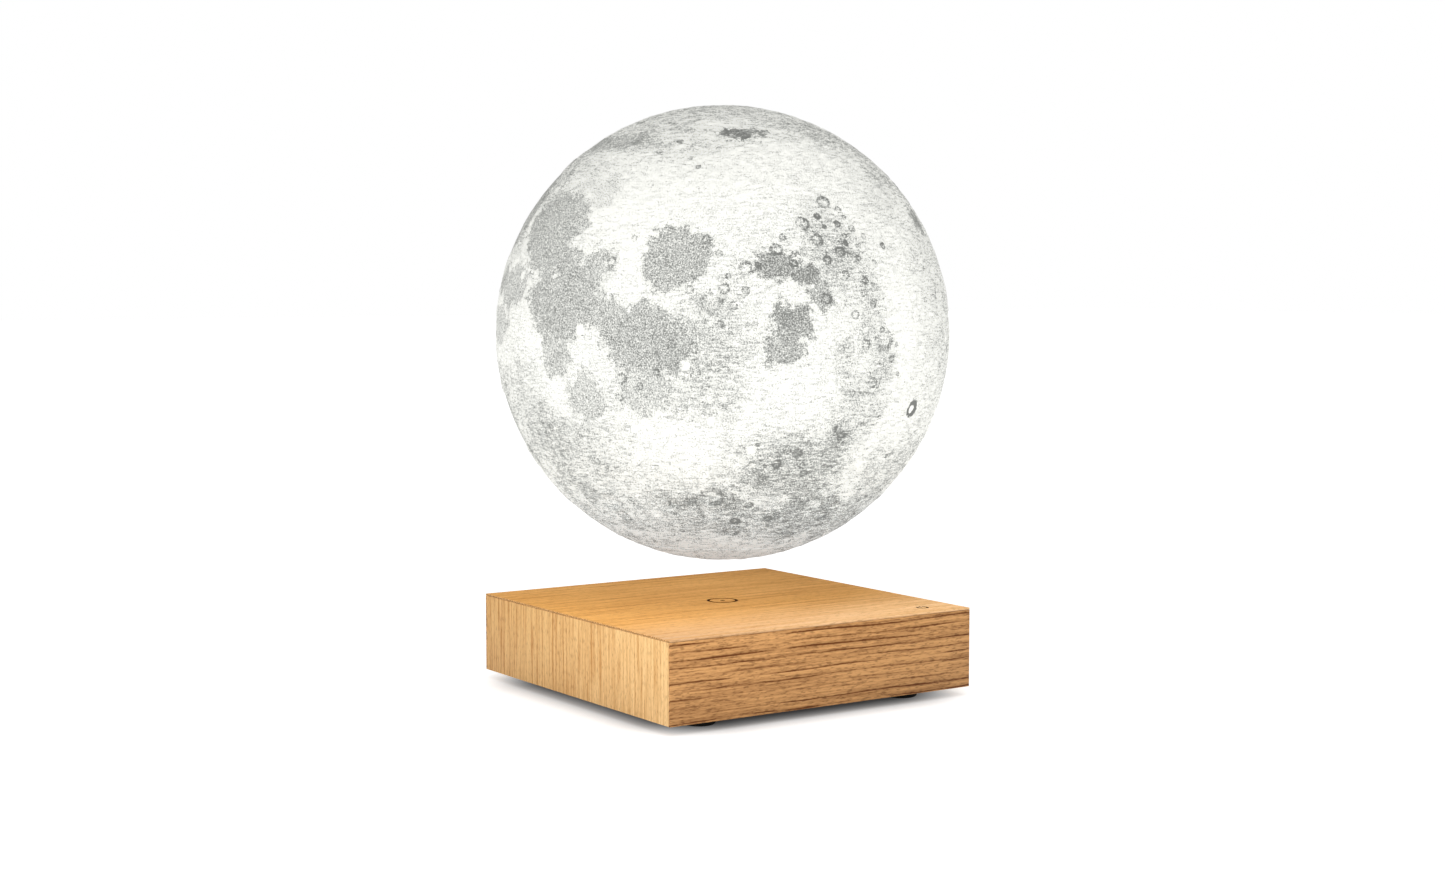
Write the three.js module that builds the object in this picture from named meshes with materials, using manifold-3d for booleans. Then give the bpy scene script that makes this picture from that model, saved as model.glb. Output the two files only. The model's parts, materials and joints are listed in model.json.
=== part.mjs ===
// A moon lamp: a printed moon that floats and turns over a square wooden case, held up by magnets.
// Millimetres, +Z up. The origin is on the floor under the middle of the case.
// The front, with the touch mark, faces -Y. The power socket is in the back, at +Y.
import * as THREE from 'three';
import { mergeVertices } from 'three/addons/utils/BufferGeometryUtils.js';
import Module from 'manifold-3d';

const wasm = await Module();
wasm.setup();

// Driving dimensions, measured over the finished lamp
const CASE_SIDE = 113;
const CASE_HEIGHT = 25.3;
const FOOT_HEIGHT = 3;
const MOON_DIAMETER = 145;
const FLOAT_GAP = 13.9;

// Clearances and cutting
const GLUE_LINE = 0.05; // between faces that are glued or stand on each other
const SLIP_FIT = 0.3; // round a piece that drops into its place
const RUNNING_FIT = 0.4; // round the magnet that the moon turns about
const CUT_OVERRUN = 1; // how far a cutter runs past the face it opens
const WELD_GAP = 0.0001; // corners nearer than this are one corner

// Wooden case
const VENEER_THICKNESS = 0.6;
const WALL_THICKNESS = 4;
const ROOF_THICKNESS = 2.4;
const POCKET_CORNER_RADIUS = 4;
const SOCKET_HOLE_RADIUS = 5;
const ISLAND_SIZE = 9;
const ISLAND_TO_FOOT = 3;

// Bottom cover and feet
const COVER_THICKNESS = 2.5;
const COVER_LEDGE = 2; // how far the cover laps the case's wall
const COVER_CORNER_RADIUS = 3;
const FOOT_RADIUS = 5;
const FOOT_INSET_X = 18; // from the case's side to the middle of a foot
const FOOT_INSET_Y = 12;
const FOOT_RECESS = 0.5;
const FOOT_EDGE_ROUND = 0.9;
const VENT_LENGTH = 18;
const VENT_WIDTH = 2;
const VENT_PITCH = 5;
const VENT_COUNT = 6;

// Screws
const SCREW_SHANK_RADIUS = 1.4;
const SCREW_HEAD_RADIUS = 2.8;
const SCREW_HEAD_HEIGHT = 1.4;
const SCREW_HEAD_ROUND = 0.6;
const SCREW_POINT = 1;
const COVER_SCREW_BITE = 6; // how deep it goes into the wood
const TRAY_SCREW_BITE = 3; // how deep it goes into its column

// Main board and what stands on it
const COLUMN_HEIGHT = 2;
const COLUMN_RADIUS = 3.6;
const BOARD_THICKNESS = 1.6;
const BOARD_TO_WALL = 0.6;
const JACK_WIDTH = 9;
const JACK_LENGTH = 14;
const JACK_HEIGHT = 11;
const JACK_AXIS_HEIGHT = 6.5;
const JACK_FRONT_LENGTH = 3.4;
const JACK_BODY_RADIUS = 4.2;
const JACK_BORE_RADIUS = 3.15;
const JACK_BORE_DEPTH = 9.5;
const JACK_PIN_RADIUS = 1;
const JACK_PIN_ROOT = 2; // the length of the pin held in the housing
const JACK_PIN_SHORT = 0.8; // how far the pin stops short of the mouth
const CAPACITOR_RADIUS = 4;
const CAPACITOR_HEIGHT = 11.5;
const CAPACITOR_TO_WALL = 3.5;
const CAPACITOR_PITCH = 12;
const CAN_ROUND = 0.5; // the rounded edges and the crimp of a metal can
const CHOKE_SIDE = 12;
const CHOKE_HEIGHT = 6;
const CHOKE_CORNER_RADIUS = 2;
const CHOKE_TO_WALL = 1.5;
const CHIP_HEIGHT = 1.5;
const CHIP_EDGE = 0.3;
const CHIP_TO_WALL = 3;
const DRIVE_CHIP_LENGTH = 5;
const DRIVE_CHIP_WIDTH = 4;
const CONTROL_CHIP_SIDE = 7;

// Touch key: a spring that presses on the wood from below
const TOUCH_INSET_X = 12.3;
const TOUCH_INSET_Y = 8.6;
const TOUCH_SPRING_RADIUS = 2.6;
const TOUCH_SPRING_WIRE = 0.8;
const TOUCH_SPRING_CURLS = 6;

// Levitation drive: a ring magnet, with four coils and three field sensors inside it
const TRAY_LIFT = 2.9; // from the main board to the tray
const TRAY_THICKNESS = 2;
const TRAY_RIM = 1.5;
const TRAY_RIM_HEIGHT = 3;
const TRAY_TO_JACK = 1.8;
const EAR_RADIUS = 4.2;
const EAR_ARM = 2.4; // the arm's bare length between the tray and an ear
const RING_BORE_SHARE = 0.7; // of the ring magnet's radius
const COIL_TO_COIL = 1;
const BOBBIN_FLANGE = 0.9;
const BOBBIN_WALL = 0.8;
const WINDING_INSET = 0.6;
const CORE_RADIUS_SHARE = 0.27; // of a coil's radius
const CORE_HEAD_SHARE = 0.44;
const CORE_HEAD_HEIGHT = 1.4;
const CORE_HEAD_ROUND = 0.4;
const HALL_BOARD_THICKNESS = 1;
const SENSOR_LENGTH = 4;
const SENSOR_HEIGHT = 3;
const SENSOR_THICKNESS = 1.6;
const SENSOR_BEVEL = 0.5;
const SENSOR_GAP = 0.6;

// Power coil: a flat winding over the ring magnet, which lights the moon without a wire
const POWER_PLATE_THICKNESS = 0.8;
const POWER_PLATE_BORE = 8;
const POWER_PLATE_INSET = 0.5;
const POWER_WIRE = 1.6;
const POWER_PITCH = 2.4;
const POWER_TURNS = 6;
const POWER_EDGE = 2; // from the plate's rim to the middle of the outer loop
const POWER_HEADROOM = 1.1; // between the winding and the roof

// Moon
const SHELL_WALL = 1.6;
const LID_LEDGE = 2;
const LID_RIM_HEIGHT = 3;
const COLLAR_THICKNESS = 2.5;
const COLLAR_WALL = 3;
const COLLAR_TO_FLANGE = 1;
const LID_RIM_GAP = 0.5;
const LID_FLOOR_MARGIN = 0.5;
const MAGNET_RADIUS = 15;
const MAGNET_HEIGHT = 9;
const MAGNET_EDGE = 0.5;
const HOLDER_WALL = 1.6;
const HOLDER_FLANGE = 1;
const RECEIVER_WIRE = 1.2;
const RECEIVER_PITCH = 1.9;
const RECEIVER_TURNS = 4;
const RECEIVER_EDGE = 1.2; // from the holder's wall or the flange's rim to the middle of a loop
const LAMP_POST_RADIUS = 2.2;
const LAMP_POST_HEIGHT = 3;
const LAMP_POST_PLACE = 9;
const LAMP_PIN_RADIUS = 1;
const LAMP_PIN_PROUD = 0.8;
const LAMP_BOARD_RADIUS = 20;
const LED_SIDE = 5;
const LED_HEIGHT = 1.5;
const LED_EDGE = 0.3;
const LED_INSET = 5.5;
const STORE_RADIUS = 3.15;
const STORE_HEIGHT = 7.7;

// Facets
const MOON_SIDES = 48;
const MOON_UPPER_STEPS = 12;
const MOON_LOWER_STEPS = 9;
const MOON_INNER_STEPS = 12;
const LID_OUTER_STEPS = 4;
const LID_INNER_STEPS = 2;
const DRIVE_SIDES = 36;
const ROUND_SIDES = 20;
const COIL_SIDES = 16;
const SMALL_SIDES = 12;
const SCREW_SIDES = 8;
const CORNER_STEPS = 2; // a rounded corner has twice as many facets
const LOOP_STEPS = 24;
const LOOP_SIDES = 6;
const CURL_STEPS = 8;
const CURL_SIDES = 5;

// Heights and widths that follow in the case
const CASE_TOP = FOOT_HEIGHT + CASE_HEIGHT;
const CASE_HALF = CASE_SIDE / 2;
const CORE_TOP = CASE_TOP - VENEER_THICKNESS - GLUE_LINE;
const CORE_HALF = CASE_HALF - VENEER_THICKNESS - GLUE_LINE;
const POCKET_HALF = CORE_HALF - WALL_THICKNESS;
const POCKET_ROOF = CORE_TOP - ROOF_THICKNESS;
const COVER_TOP = FOOT_HEIGHT + COVER_THICKNESS;
const LEDGE_HALF = POCKET_HALF + COVER_LEDGE;
const FOOT_X = CASE_HALF - FOOT_INSET_X;
const FOOT_Y = CASE_HALF - FOOT_INSET_Y;
const ISLAND_X = FOOT_X - FOOT_RADIUS - ISLAND_TO_FOOT - ISLAND_SIZE / 2;
const ISLAND_Y = POCKET_HALF - ISLAND_SIZE / 2;
// The drive chips stand midway between the control chip and the islands
const DRIVE_CHIP_X = (CONTROL_CHIP_SIDE / 2 + ISLAND_X - ISLAND_SIZE / 2 - BOARD_TO_WALL) / 2;
const SCREW_HOLE_RADIUS = SCREW_SHANK_RADIUS + SLIP_FIT;
const SCREW_SINK = SCREW_HEAD_HEIGHT + 2 * GLUE_LINE;

// Heights and widths that follow on the boards
const BOARD_BOTTOM = COVER_TOP + COLUMN_HEIGHT + GLUE_LINE;
const BOARD_TOP = BOARD_BOTTOM + BOARD_THICKNESS;
const BOARD_HALF = POCKET_HALF - BOARD_TO_WALL;
const PART_BOTTOM = BOARD_TOP + GLUE_LINE;
const JACK_AXIS = PART_BOTTOM + JACK_AXIS_HEIGHT;
const JACK_FRONT = POCKET_HALF - SLIP_FIT;
const TRAY_BOTTOM = BOARD_TOP + TRAY_LIFT;
const TRAY_TOP = TRAY_BOTTOM + TRAY_THICKNESS;
const TRAY_RADIUS = JACK_FRONT - JACK_LENGTH - TRAY_TO_JACK;
const COLUMN_PLACE = (TRAY_RADIUS + EAR_ARM + EAR_RADIUS) * Math.SQRT1_2;
const RING_RADIUS = TRAY_RADIUS - TRAY_RIM - SLIP_FIT;
const RING_BORE = RING_RADIUS * RING_BORE_SHARE;
const DRIVE_BOTTOM = TRAY_TOP + GLUE_LINE;
const POWER_WIRE_MIDDLE = POCKET_ROOF - POWER_HEADROOM - POWER_WIRE / 2;
const POWER_PLATE_TOP = POWER_WIRE_MIDDLE - POWER_WIRE / 2 - GLUE_LINE;
const RING_HEIGHT = POWER_PLATE_TOP - POWER_PLATE_THICKNESS - GLUE_LINE - DRIVE_BOTTOM;
// Four round coils stand in the ring's bore, as wide as they can be with one gap between all of them
const COIL_ROOM = RING_BORE - COIL_TO_COIL;
const COIL_RADIUS = (COIL_ROOM * Math.SQRT2 - COIL_TO_COIL) / (2 + Math.SQRT2);
const COIL_PLACE = COIL_ROOM - COIL_RADIUS;
const CORE_RADIUS = COIL_RADIUS * CORE_RADIUS_SHARE;
const CORE_HEAD_RADIUS = COIL_RADIUS * CORE_HEAD_SHARE;
const BOBBIN_BORE = CORE_RADIUS + SLIP_FIT;
const BOBBIN_HEIGHT = RING_HEIGHT - SLIP_FIT;
const HALL_BOARD_HALF = COIL_PLACE - COIL_RADIUS - SLIP_FIT;
const POWER_PLATE_RADIUS = RING_RADIUS - POWER_PLATE_INSET;

// Heights and radii that follow in the moon, from its centre
const MOON_RADIUS = MOON_DIAMETER / 2;
const MOON_HEIGHT = CASE_TOP + FLOAT_GAP + MOON_RADIUS;
const HOLLOW_RADIUS = MOON_RADIUS - SHELL_WALL;
const HOLDER_BORE = MAGNET_RADIUS + RUNNING_FIT;
const HOLDER_RADIUS = HOLDER_BORE + HOLDER_WALL;
const RECEIVER_INNER = HOLDER_RADIUS + RECEIVER_EDGE;
const FLANGE_RADIUS = RECEIVER_INNER + RECEIVER_PITCH * RECEIVER_TURNS + RECEIVER_EDGE;
const COLLAR_BORE = FLANGE_RADIUS + COLLAR_TO_FLANGE;
const MOUTH_RADIUS = COLLAR_BORE + LID_LEDGE;
const LID_RADIUS = MOUTH_RADIUS - SLIP_FIT;
const LID_RIM_BORE = FLANGE_RADIUS + LID_RIM_GAP;
const LID_FLOOR_RADIUS = HOLDER_RADIUS + LID_FLOOR_MARGIN;
const LEDGE_HEIGHT = depthAt(MOON_RADIUS, MOUTH_RADIUS) + LID_RIM_HEIGHT;
const LID_FLOOR = depthAt(HOLLOW_RADIUS, LID_FLOOR_RADIUS);
const HOLDER_BOTTOM = LID_FLOOR + GLUE_LINE;
const MAGNET_BOTTOM = LID_FLOOR + RUNNING_FIT;
const HOLDER_CEILING = MAGNET_BOTTOM + MAGNET_HEIGHT + RUNNING_FIT;
const HOLDER_TOP = HOLDER_CEILING + HOLDER_WALL;
const FLANGE_BOTTOM = depthAt(HOLLOW_RADIUS, FLANGE_RADIUS) + SLIP_FIT;
const FLANGE_TOP = FLANGE_BOTTOM + HOLDER_FLANGE;
const LAMP_BOARD_BOTTOM = HOLDER_TOP + LAMP_POST_HEIGHT + GLUE_LINE;
const LAMP_BOARD_TOP = LAMP_BOARD_BOTTOM + BOARD_THICKNESS;
const LAMP_PART_BOTTOM = LAMP_BOARD_TOP + GLUE_LINE;
const LED_PLACE = (LAMP_BOARD_RADIUS - LED_INSET) * Math.SQRT1_2;

// Finishes, as seen in the lamp
const TOP_VENEER = { color: 0xcd9b55, roughness: 0.6, metalness: 0 };
const FRONT_VENEER = { color: 0xb98048, roughness: 0.6, metalness: 0 };
const SIDE_VENEER = { color: 0xe0b070, roughness: 0.6, metalness: 0 };
const FIBREBOARD = { color: 0xa9814f, roughness: 0.9, metalness: 0 };
const BLACK_PLASTIC = { color: 0x1d1d1f, roughness: 0.55, metalness: 0 };
const BLACK_RUBBER = { color: 0x141414, roughness: 0.9, metalness: 0 };
const WHITE_PLASTIC = { color: 0xe9e8e2, roughness: 0.5, metalness: 0 };
const PRINTED_WHITE = { color: 0xf3f1ea, roughness: 0.7, metalness: 0 };
const STEEL = { color: 0x8f9296, roughness: 0.35, metalness: 1 };
const NICKEL = { color: 0xc9c9c4, roughness: 0.2, metalness: 1 };
const ALUMINIUM = { color: 0xb9bcc0, roughness: 0.35, metalness: 1 };
const FERRITE = { color: 0x2c2d30, roughness: 0.8, metalness: 0 };
const COPPER = { color: 0xb5672f, roughness: 0.35, metalness: 1 };
const BOARD_GREEN = { color: 0x1f5a38, roughness: 0.5, metalness: 0 };
const CHIP_BLACK = { color: 0x17181a, roughness: 0.6, metalness: 0 };
const LED_WHITE = { color: 0xf6eecb, roughness: 0.3, metalness: 0 };

// The height of a sphere's lower side where its radius from the axis is the one given
function depthAt(sphereRadius, radius) {
  return -Math.sqrt(sphereRadius ** 2 - radius ** 2);
}

// Shapes

function block(width, depth, height, bottom) {
  return new THREE.BoxGeometry(width, depth, height).translate(0, 0, bottom + height / 2);
}

function cylinder(radius, height, bottom, sides = ROUND_SIDES) {
  const upright = new THREE.CylinderGeometry(radius, radius, height, sides).rotateX(Math.PI / 2);
  return upright.translate(0, 0, bottom + height / 2);
}

// Turns a profile about Z. Its points are [radius, height], and run up the outside.
function revolve(profile, sides = ROUND_SIDES) {
  const points = profile.map(([radius, height]) => new THREE.Vector2(radius, height));
  return new THREE.LatheGeometry(points, sides).rotateX(Math.PI / 2);
}

function ring(bore, radius, height, bottom, sides = ROUND_SIDES) {
  const top = bottom + height;
  return revolve([[bore, bottom], [radius, bottom], [radius, top], [bore, top], [bore, bottom]], sides);
}

function roundedSquare(halfWidth, halfDepth, cornerRadius) {
  const outline = new THREE.Shape();
  const x = halfWidth - cornerRadius;
  const y = halfDepth - cornerRadius;
  outline.absarc(x, y, cornerRadius, 0, Math.PI / 2);
  outline.absarc(-x, y, cornerRadius, Math.PI / 2, Math.PI);
  outline.absarc(-x, -y, cornerRadius, Math.PI, Math.PI * 1.5);
  outline.absarc(x, -y, cornerRadius, Math.PI * 1.5, Math.PI * 2);
  return outline;
}

function plate(outline, height, bottom, curveSegments = CORNER_STEPS) {
  const settings = { depth: height, bevelEnabled: false, curveSegments };
  return new THREE.ExtrudeGeometry(outline, settings).translate(0, 0, bottom);
}

// A moulded body with its top edge bevelled all round
function bevelledBlock(width, depth, height, edge, bottom) {
  const low = [width / 2, depth / 2];
  const high = [width / 2 - edge, depth / 2 - edge];
  const corners = [[1, 1], [-1, 1], [-1, -1], [1, -1]];
  const level = ([x, y], z) => corners.map(([sx, sy]) => new THREE.Vector3(sx * x, sy * y, z));
  const rings = [level(low, bottom), level(low, bottom + height - edge), level(high, bottom + height)];
  return hullOfRings(rings);
}

// Joins rings of the same number of points into a closed body, from the lowest up
function hullOfRings(rings) {
  const count = rings[0].length;
  const last = (rings.length - 1) * count;
  const faces = [];
  for (let level = 0; level < last; level += count) {
    for (let i = 0; i < count; i += 1) {
      const next = (i + 1) % count;
      faces.push(level + i, level + next, level + count + next);
      faces.push(level + i, level + count + next, level + count + i);
    }
  }
  for (let i = 1; i < count - 1; i += 1) {
    faces.push(0, i + 1, i);
    faces.push(last, last + i, last + i + 1);
  }
  const body = new THREE.BufferGeometry().setFromPoints(rings.flat());
  return body.setIndex(faces);
}

// Points of a circle about the centre, as [radius, height], between two angles above the middle
function arcPoints(radius, fromAngle, toAngle, steps) {
  return Array.from({ length: steps + 1 }, (_, i) => {
    const angle = THREE.MathUtils.lerp(fromAngle, toAngle, i / steps);
    return [radius * Math.cos(angle), radius * Math.sin(angle)];
  });
}

// Joining and cutting

function toSolid(geometry) {
  const bare = new THREE.BufferGeometry().setAttribute('position', geometry.getAttribute('position'));
  bare.setIndex(geometry.getIndex());
  const welded = mergeVertices(bare, WELD_GAP);
  const corners = welded.getIndex().array;
  const triVerts = [];
  for (let i = 0; i < corners.length; i += 3) {
    const [a, b, c] = corners.slice(i, i + 3);
    if (a !== b && b !== c && c !== a) triVerts.push(a, b, c);
  }
  return new wasm.Manifold(new wasm.Mesh({
    numProp: 3,
    vertProperties: welded.getAttribute('position').array,
    triVerts: new Uint32Array(triVerts),
  }));
}

function toGeometry(solid) {
  const { vertProperties, triVerts } = solid.getMesh();
  const geometry = new THREE.BufferGeometry();
  geometry.setAttribute('position', new THREE.BufferAttribute(vertProperties, 3));
  return geometry.setIndex(new THREE.BufferAttribute(triVerts, 1));
}

function join(body, ...others) {
  return toGeometry(others.reduce((solid, other) => solid.add(toSolid(other)), toSolid(body)));
}

function cut(body, ...cutters) {
  return toGeometry(cutters.reduce((solid, cutter) => solid.subtract(toSolid(cutter)), toSolid(body)));
}

// Places

function atCorners(x, y, make) {
  return [[x, y], [-x, y], [-x, -y], [x, -y]].map(([px, py]) => make().translate(px, py, 0));
}

function inCross(place, make) {
  return [[place, 0], [0, place], [-place, 0], [0, -place]].map(([px, py]) => make().translate(px, py, 0));
}

function piece(name, geometry, finish) {
  const mesh = new THREE.Mesh(geometry, new THREE.MeshStandardMaterial(finish));
  mesh.name = name;
  return mesh;
}

function pieces(name, geometries, finish) {
  return geometries.map((geometry, i) => piece(`${name}_${i + 1}`, geometry, finish));
}

// Wound wire

function wireAlong(points, wire, sides) {
  const path = new THREE.CatmullRomCurve3(points, false, 'centripetal');
  path.arcLengthDivisions = points.length * LOOP_SIDES;
  const spokes = Array.from({ length: sides }, (_, i) => (i / sides) * Math.PI * 2);
  const section = spokes.map((a) => new THREE.Vector2(Math.cos(a), Math.sin(a)).multiplyScalar(wire / 2));
  const settings = { steps: points.length - 1, extrudePath: path, bevelEnabled: false };
  return new THREE.ExtrudeGeometry(new THREE.Shape(section), settings);
}

// The least air between a wire's loops: points less than half a loop apart are neighbours on one loop
function reportLeastGap(name, points, wire, stepsInLoop) {
  let least = Infinity;
  for (let i = 0; i < points.length; i += 1) {
    for (let j = i + Math.ceil(stepsInLoop / 2); j < points.length; j += 1) {
      least = Math.min(least, points[i].distanceTo(points[j]) - wire);
    }
  }
  console.log(`${name}: least gap between loops ${least.toFixed(3)} mm`);
}

// A flat winding, from its inner end out. Both ends run straight for one wire's width.
function flatWinding(name, innerRadius, pitch, turns, wire, height) {
  const steps = turns * LOOP_STEPS;
  const points = Array.from({ length: steps + 1 }, (_, i) => {
    const angle = (i / LOOP_STEPS) * Math.PI * 2;
    const radius = innerRadius + (pitch * i) / LOOP_STEPS;
    return new THREE.Vector3(radius * Math.cos(angle), radius * Math.sin(angle), height);
  });
  points.unshift(straightOn(points[1], points[0], wire));
  points.push(straightOn(points.at(-2), points.at(-1), wire));
  reportLeastGap(name, points, wire, LOOP_STEPS);
  return wireAlong(points, wire, LOOP_SIDES);
}

function straightOn(before, end, length) {
  return end.clone().sub(before).setLength(length).add(end);
}

// Wooden case

function makeCasing() {
  const core = block(2 * CORE_HALF, 2 * CORE_HALF, CORE_TOP - FOOT_HEIGHT, FOOT_HEIGHT);
  const cutBottom = FOOT_HEIGHT - CUT_OVERRUN;
  const ledge = roundedSquare(LEDGE_HALF, LEDGE_HALF, COVER_CORNER_RADIUS);
  const ledgeCut = plate(ledge, COVER_TOP + GLUE_LINE - cutBottom, cutBottom);
  const pocket = roundedSquare(POCKET_HALF, POCKET_HALF, POCKET_CORNER_RADIUS);
  const islandHeight = POCKET_ROOF + CUT_OVERRUN - COVER_TOP - GLUE_LINE;
  const islandSize = ISLAND_SIZE + CUT_OVERRUN;
  const makeIsland = () => block(ISLAND_SIZE, islandSize, islandHeight, COVER_TOP + GLUE_LINE);
  const islands = atCorners(ISLAND_X, ISLAND_Y + CUT_OVERRUN / 2, makeIsland);
  const pocketCut = cut(plate(pocket, POCKET_ROOF - cutBottom, cutBottom), ...islands);
  const pilotHeight = COVER_SCREW_BITE + CUT_OVERRUN;
  const makePilot = () => cylinder(SCREW_HOLE_RADIUS, pilotHeight, COVER_TOP, SCREW_SIDES);
  const pilots = atCorners(ISLAND_X, ISLAND_Y, makePilot);
  const socket = socketCut(WALL_THICKNESS, (POCKET_HALF + CORE_HALF) / 2);
  return cut(core, ledgeCut, pocketCut, ...pilots, socket);
}

// A round cut through the back of the case, for the plug
function socketCut(thickness, middle) {
  const length = thickness + 2 * CUT_OVERRUN;
  const lying = new THREE.CylinderGeometry(SOCKET_HOLE_RADIUS, SOCKET_HOLE_RADIUS, length, ROUND_SIDES);
  return lying.translate(0, middle, JACK_AXIS);
}

function makeVeneers() {
  const wallHeight = CORE_TOP - FOOT_HEIGHT;
  const skinMiddle = CASE_HALF - VENEER_THICKNESS / 2;
  const face = () => block(CASE_SIDE, VENEER_THICKNESS, wallHeight, FOOT_HEIGHT);
  const end = () => block(VENEER_THICKNESS, 2 * CORE_HALF, wallHeight, FOOT_HEIGHT);
  const top = block(CASE_SIDE, CASE_SIDE, VENEER_THICKNESS, CASE_TOP - VENEER_THICKNESS);
  const back = cut(face().translate(0, skinMiddle, 0), socketCut(VENEER_THICKNESS, skinMiddle));
  return [
    piece('veneer_top', top, TOP_VENEER),
    piece('veneer_front', face().translate(0, -skinMiddle, 0), FRONT_VENEER),
    piece('veneer_back', back, FRONT_VENEER),
    piece('veneer_left', end().translate(-skinMiddle, 0, 0), SIDE_VENEER),
    piece('veneer_right', end().translate(skinMiddle, 0, 0), SIDE_VENEER),
  ];
}

// Bottom cover, feet and screws

function makeCover() {
  const half = LEDGE_HALF - SLIP_FIT;
  const panel = plate(roundedSquare(half, half, COVER_CORNER_RADIUS), COVER_THICKNESS, FOOT_HEIGHT);
  const columnHeight = COLUMN_HEIGHT + COVER_THICKNESS;
  const makeColumn = () => cylinder(COLUMN_RADIUS, columnHeight, FOOT_HEIGHT, SMALL_SIDES);
  const columns = atCorners(COLUMN_PLACE, COLUMN_PLACE, makeColumn);
  const cutBottom = FOOT_HEIGHT - CUT_OVERRUN;
  const makeFootRecess = () => cylinder(FOOT_RADIUS + SLIP_FIT, CUT_OVERRUN + FOOT_RECESS, cutBottom);
  const sinkRadius = SCREW_HEAD_RADIUS + SLIP_FIT;
  const makeSink = () => cylinder(sinkRadius, CUT_OVERRUN + SCREW_SINK, cutBottom, SMALL_SIDES);
  const throughHeight = COVER_THICKNESS + 2 * CUT_OVERRUN;
  const makeHole = () => cylinder(SCREW_HOLE_RADIUS, throughHeight, cutBottom, SCREW_SIDES);
  const pilotBottom = COVER_TOP + COLUMN_HEIGHT - TRAY_SCREW_BITE - SLIP_FIT;
  const pilotHeight = TRAY_SCREW_BITE + SLIP_FIT + CUT_OVERRUN;
  const makePilot = () => cylinder(SCREW_HOLE_RADIUS, pilotHeight, pilotBottom, SCREW_SIDES);
  const slot = roundedSquare(VENT_LENGTH / 2, VENT_WIDTH / 2, VENT_WIDTH / 2);
  const vents = Array.from({ length: VENT_COUNT }, (_, i) => {
    const place = (i - (VENT_COUNT - 1) / 2) * VENT_PITCH;
    return plate(slot, throughHeight, cutBottom, 1).translate(0, place, 0);
  });
  return cut(
    join(panel, ...columns),
    ...atCorners(FOOT_X, FOOT_Y, makeFootRecess),
    ...atCorners(ISLAND_X, ISLAND_Y, makeSink),
    ...atCorners(ISLAND_X, ISLAND_Y, makeHole),
    ...atCorners(COLUMN_PLACE, COLUMN_PLACE, makePilot),
    ...vents,
  );
}

function makeFoot() {
  const top = FOOT_HEIGHT + FOOT_RECESS - GLUE_LINE;
  const round = arcPoints(FOOT_EDGE_ROUND, -Math.PI / 2, 0, 2);
  const inner = FOOT_RADIUS - FOOT_EDGE_ROUND;
  const edge = round.map(([radius, height]) => [inner + radius, FOOT_EDGE_ROUND + height]);
  return revolve([[0, 0], ...edge, [FOOT_RADIUS, top], [0, top]]);
}

// A pan-head screw that points up, with the flat of its head on the height given
function makeScrew(length, bottom) {
  const headTop = bottom + SCREW_HEAD_HEIGHT;
  const tip = headTop + length;
  return revolve([
    [0, bottom],
    [SCREW_HEAD_RADIUS - SCREW_HEAD_ROUND, bottom],
    [SCREW_HEAD_RADIUS, bottom + SCREW_HEAD_ROUND],
    [SCREW_HEAD_RADIUS, headTop],
    [SCREW_SHANK_RADIUS, headTop],
    [SCREW_SHANK_RADIUS, tip - SCREW_POINT],
    [0, tip],
  ], SMALL_SIDES);
}

function makeCoverScrew() {
  const throughCover = COVER_THICKNESS - SCREW_SINK;
  return makeScrew(throughCover + COVER_SCREW_BITE, FOOT_HEIGHT + GLUE_LINE);
}

// The tray's screws point down: through an ear and the main board, into a column of the cover
function makeTrayScrew() {
  const tip = COVER_TOP + COLUMN_HEIGHT - TRAY_SCREW_BITE;
  const length = TRAY_TOP + GLUE_LINE - tip;
  return makeScrew(length, -SCREW_HEAD_HEIGHT).rotateX(Math.PI).translate(0, 0, TRAY_TOP + GLUE_LINE);
}

// Main board and what stands on it

function makeMainBoard() {
  const outline = roundedSquare(BOARD_HALF, BOARD_HALF, POCKET_CORNER_RADIUS);
  const panel = plate(outline, BOARD_THICKNESS, BOARD_BOTTOM);
  const cutBottom = BOARD_BOTTOM - CUT_OVERRUN;
  const cutHeight = BOARD_THICKNESS + 2 * CUT_OVERRUN;
  const notchSize = ISLAND_SIZE + 2 * BOARD_TO_WALL;
  const notches = atCorners(ISLAND_X, ISLAND_Y, () => block(notchSize, notchSize, cutHeight, cutBottom));
  const makeHole = () => cylinder(SCREW_HOLE_RADIUS, cutHeight, cutBottom, SCREW_SIDES);
  return cut(panel, ...notches, ...atCorners(COLUMN_PLACE, COLUMN_PLACE, makeHole));
}

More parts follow.
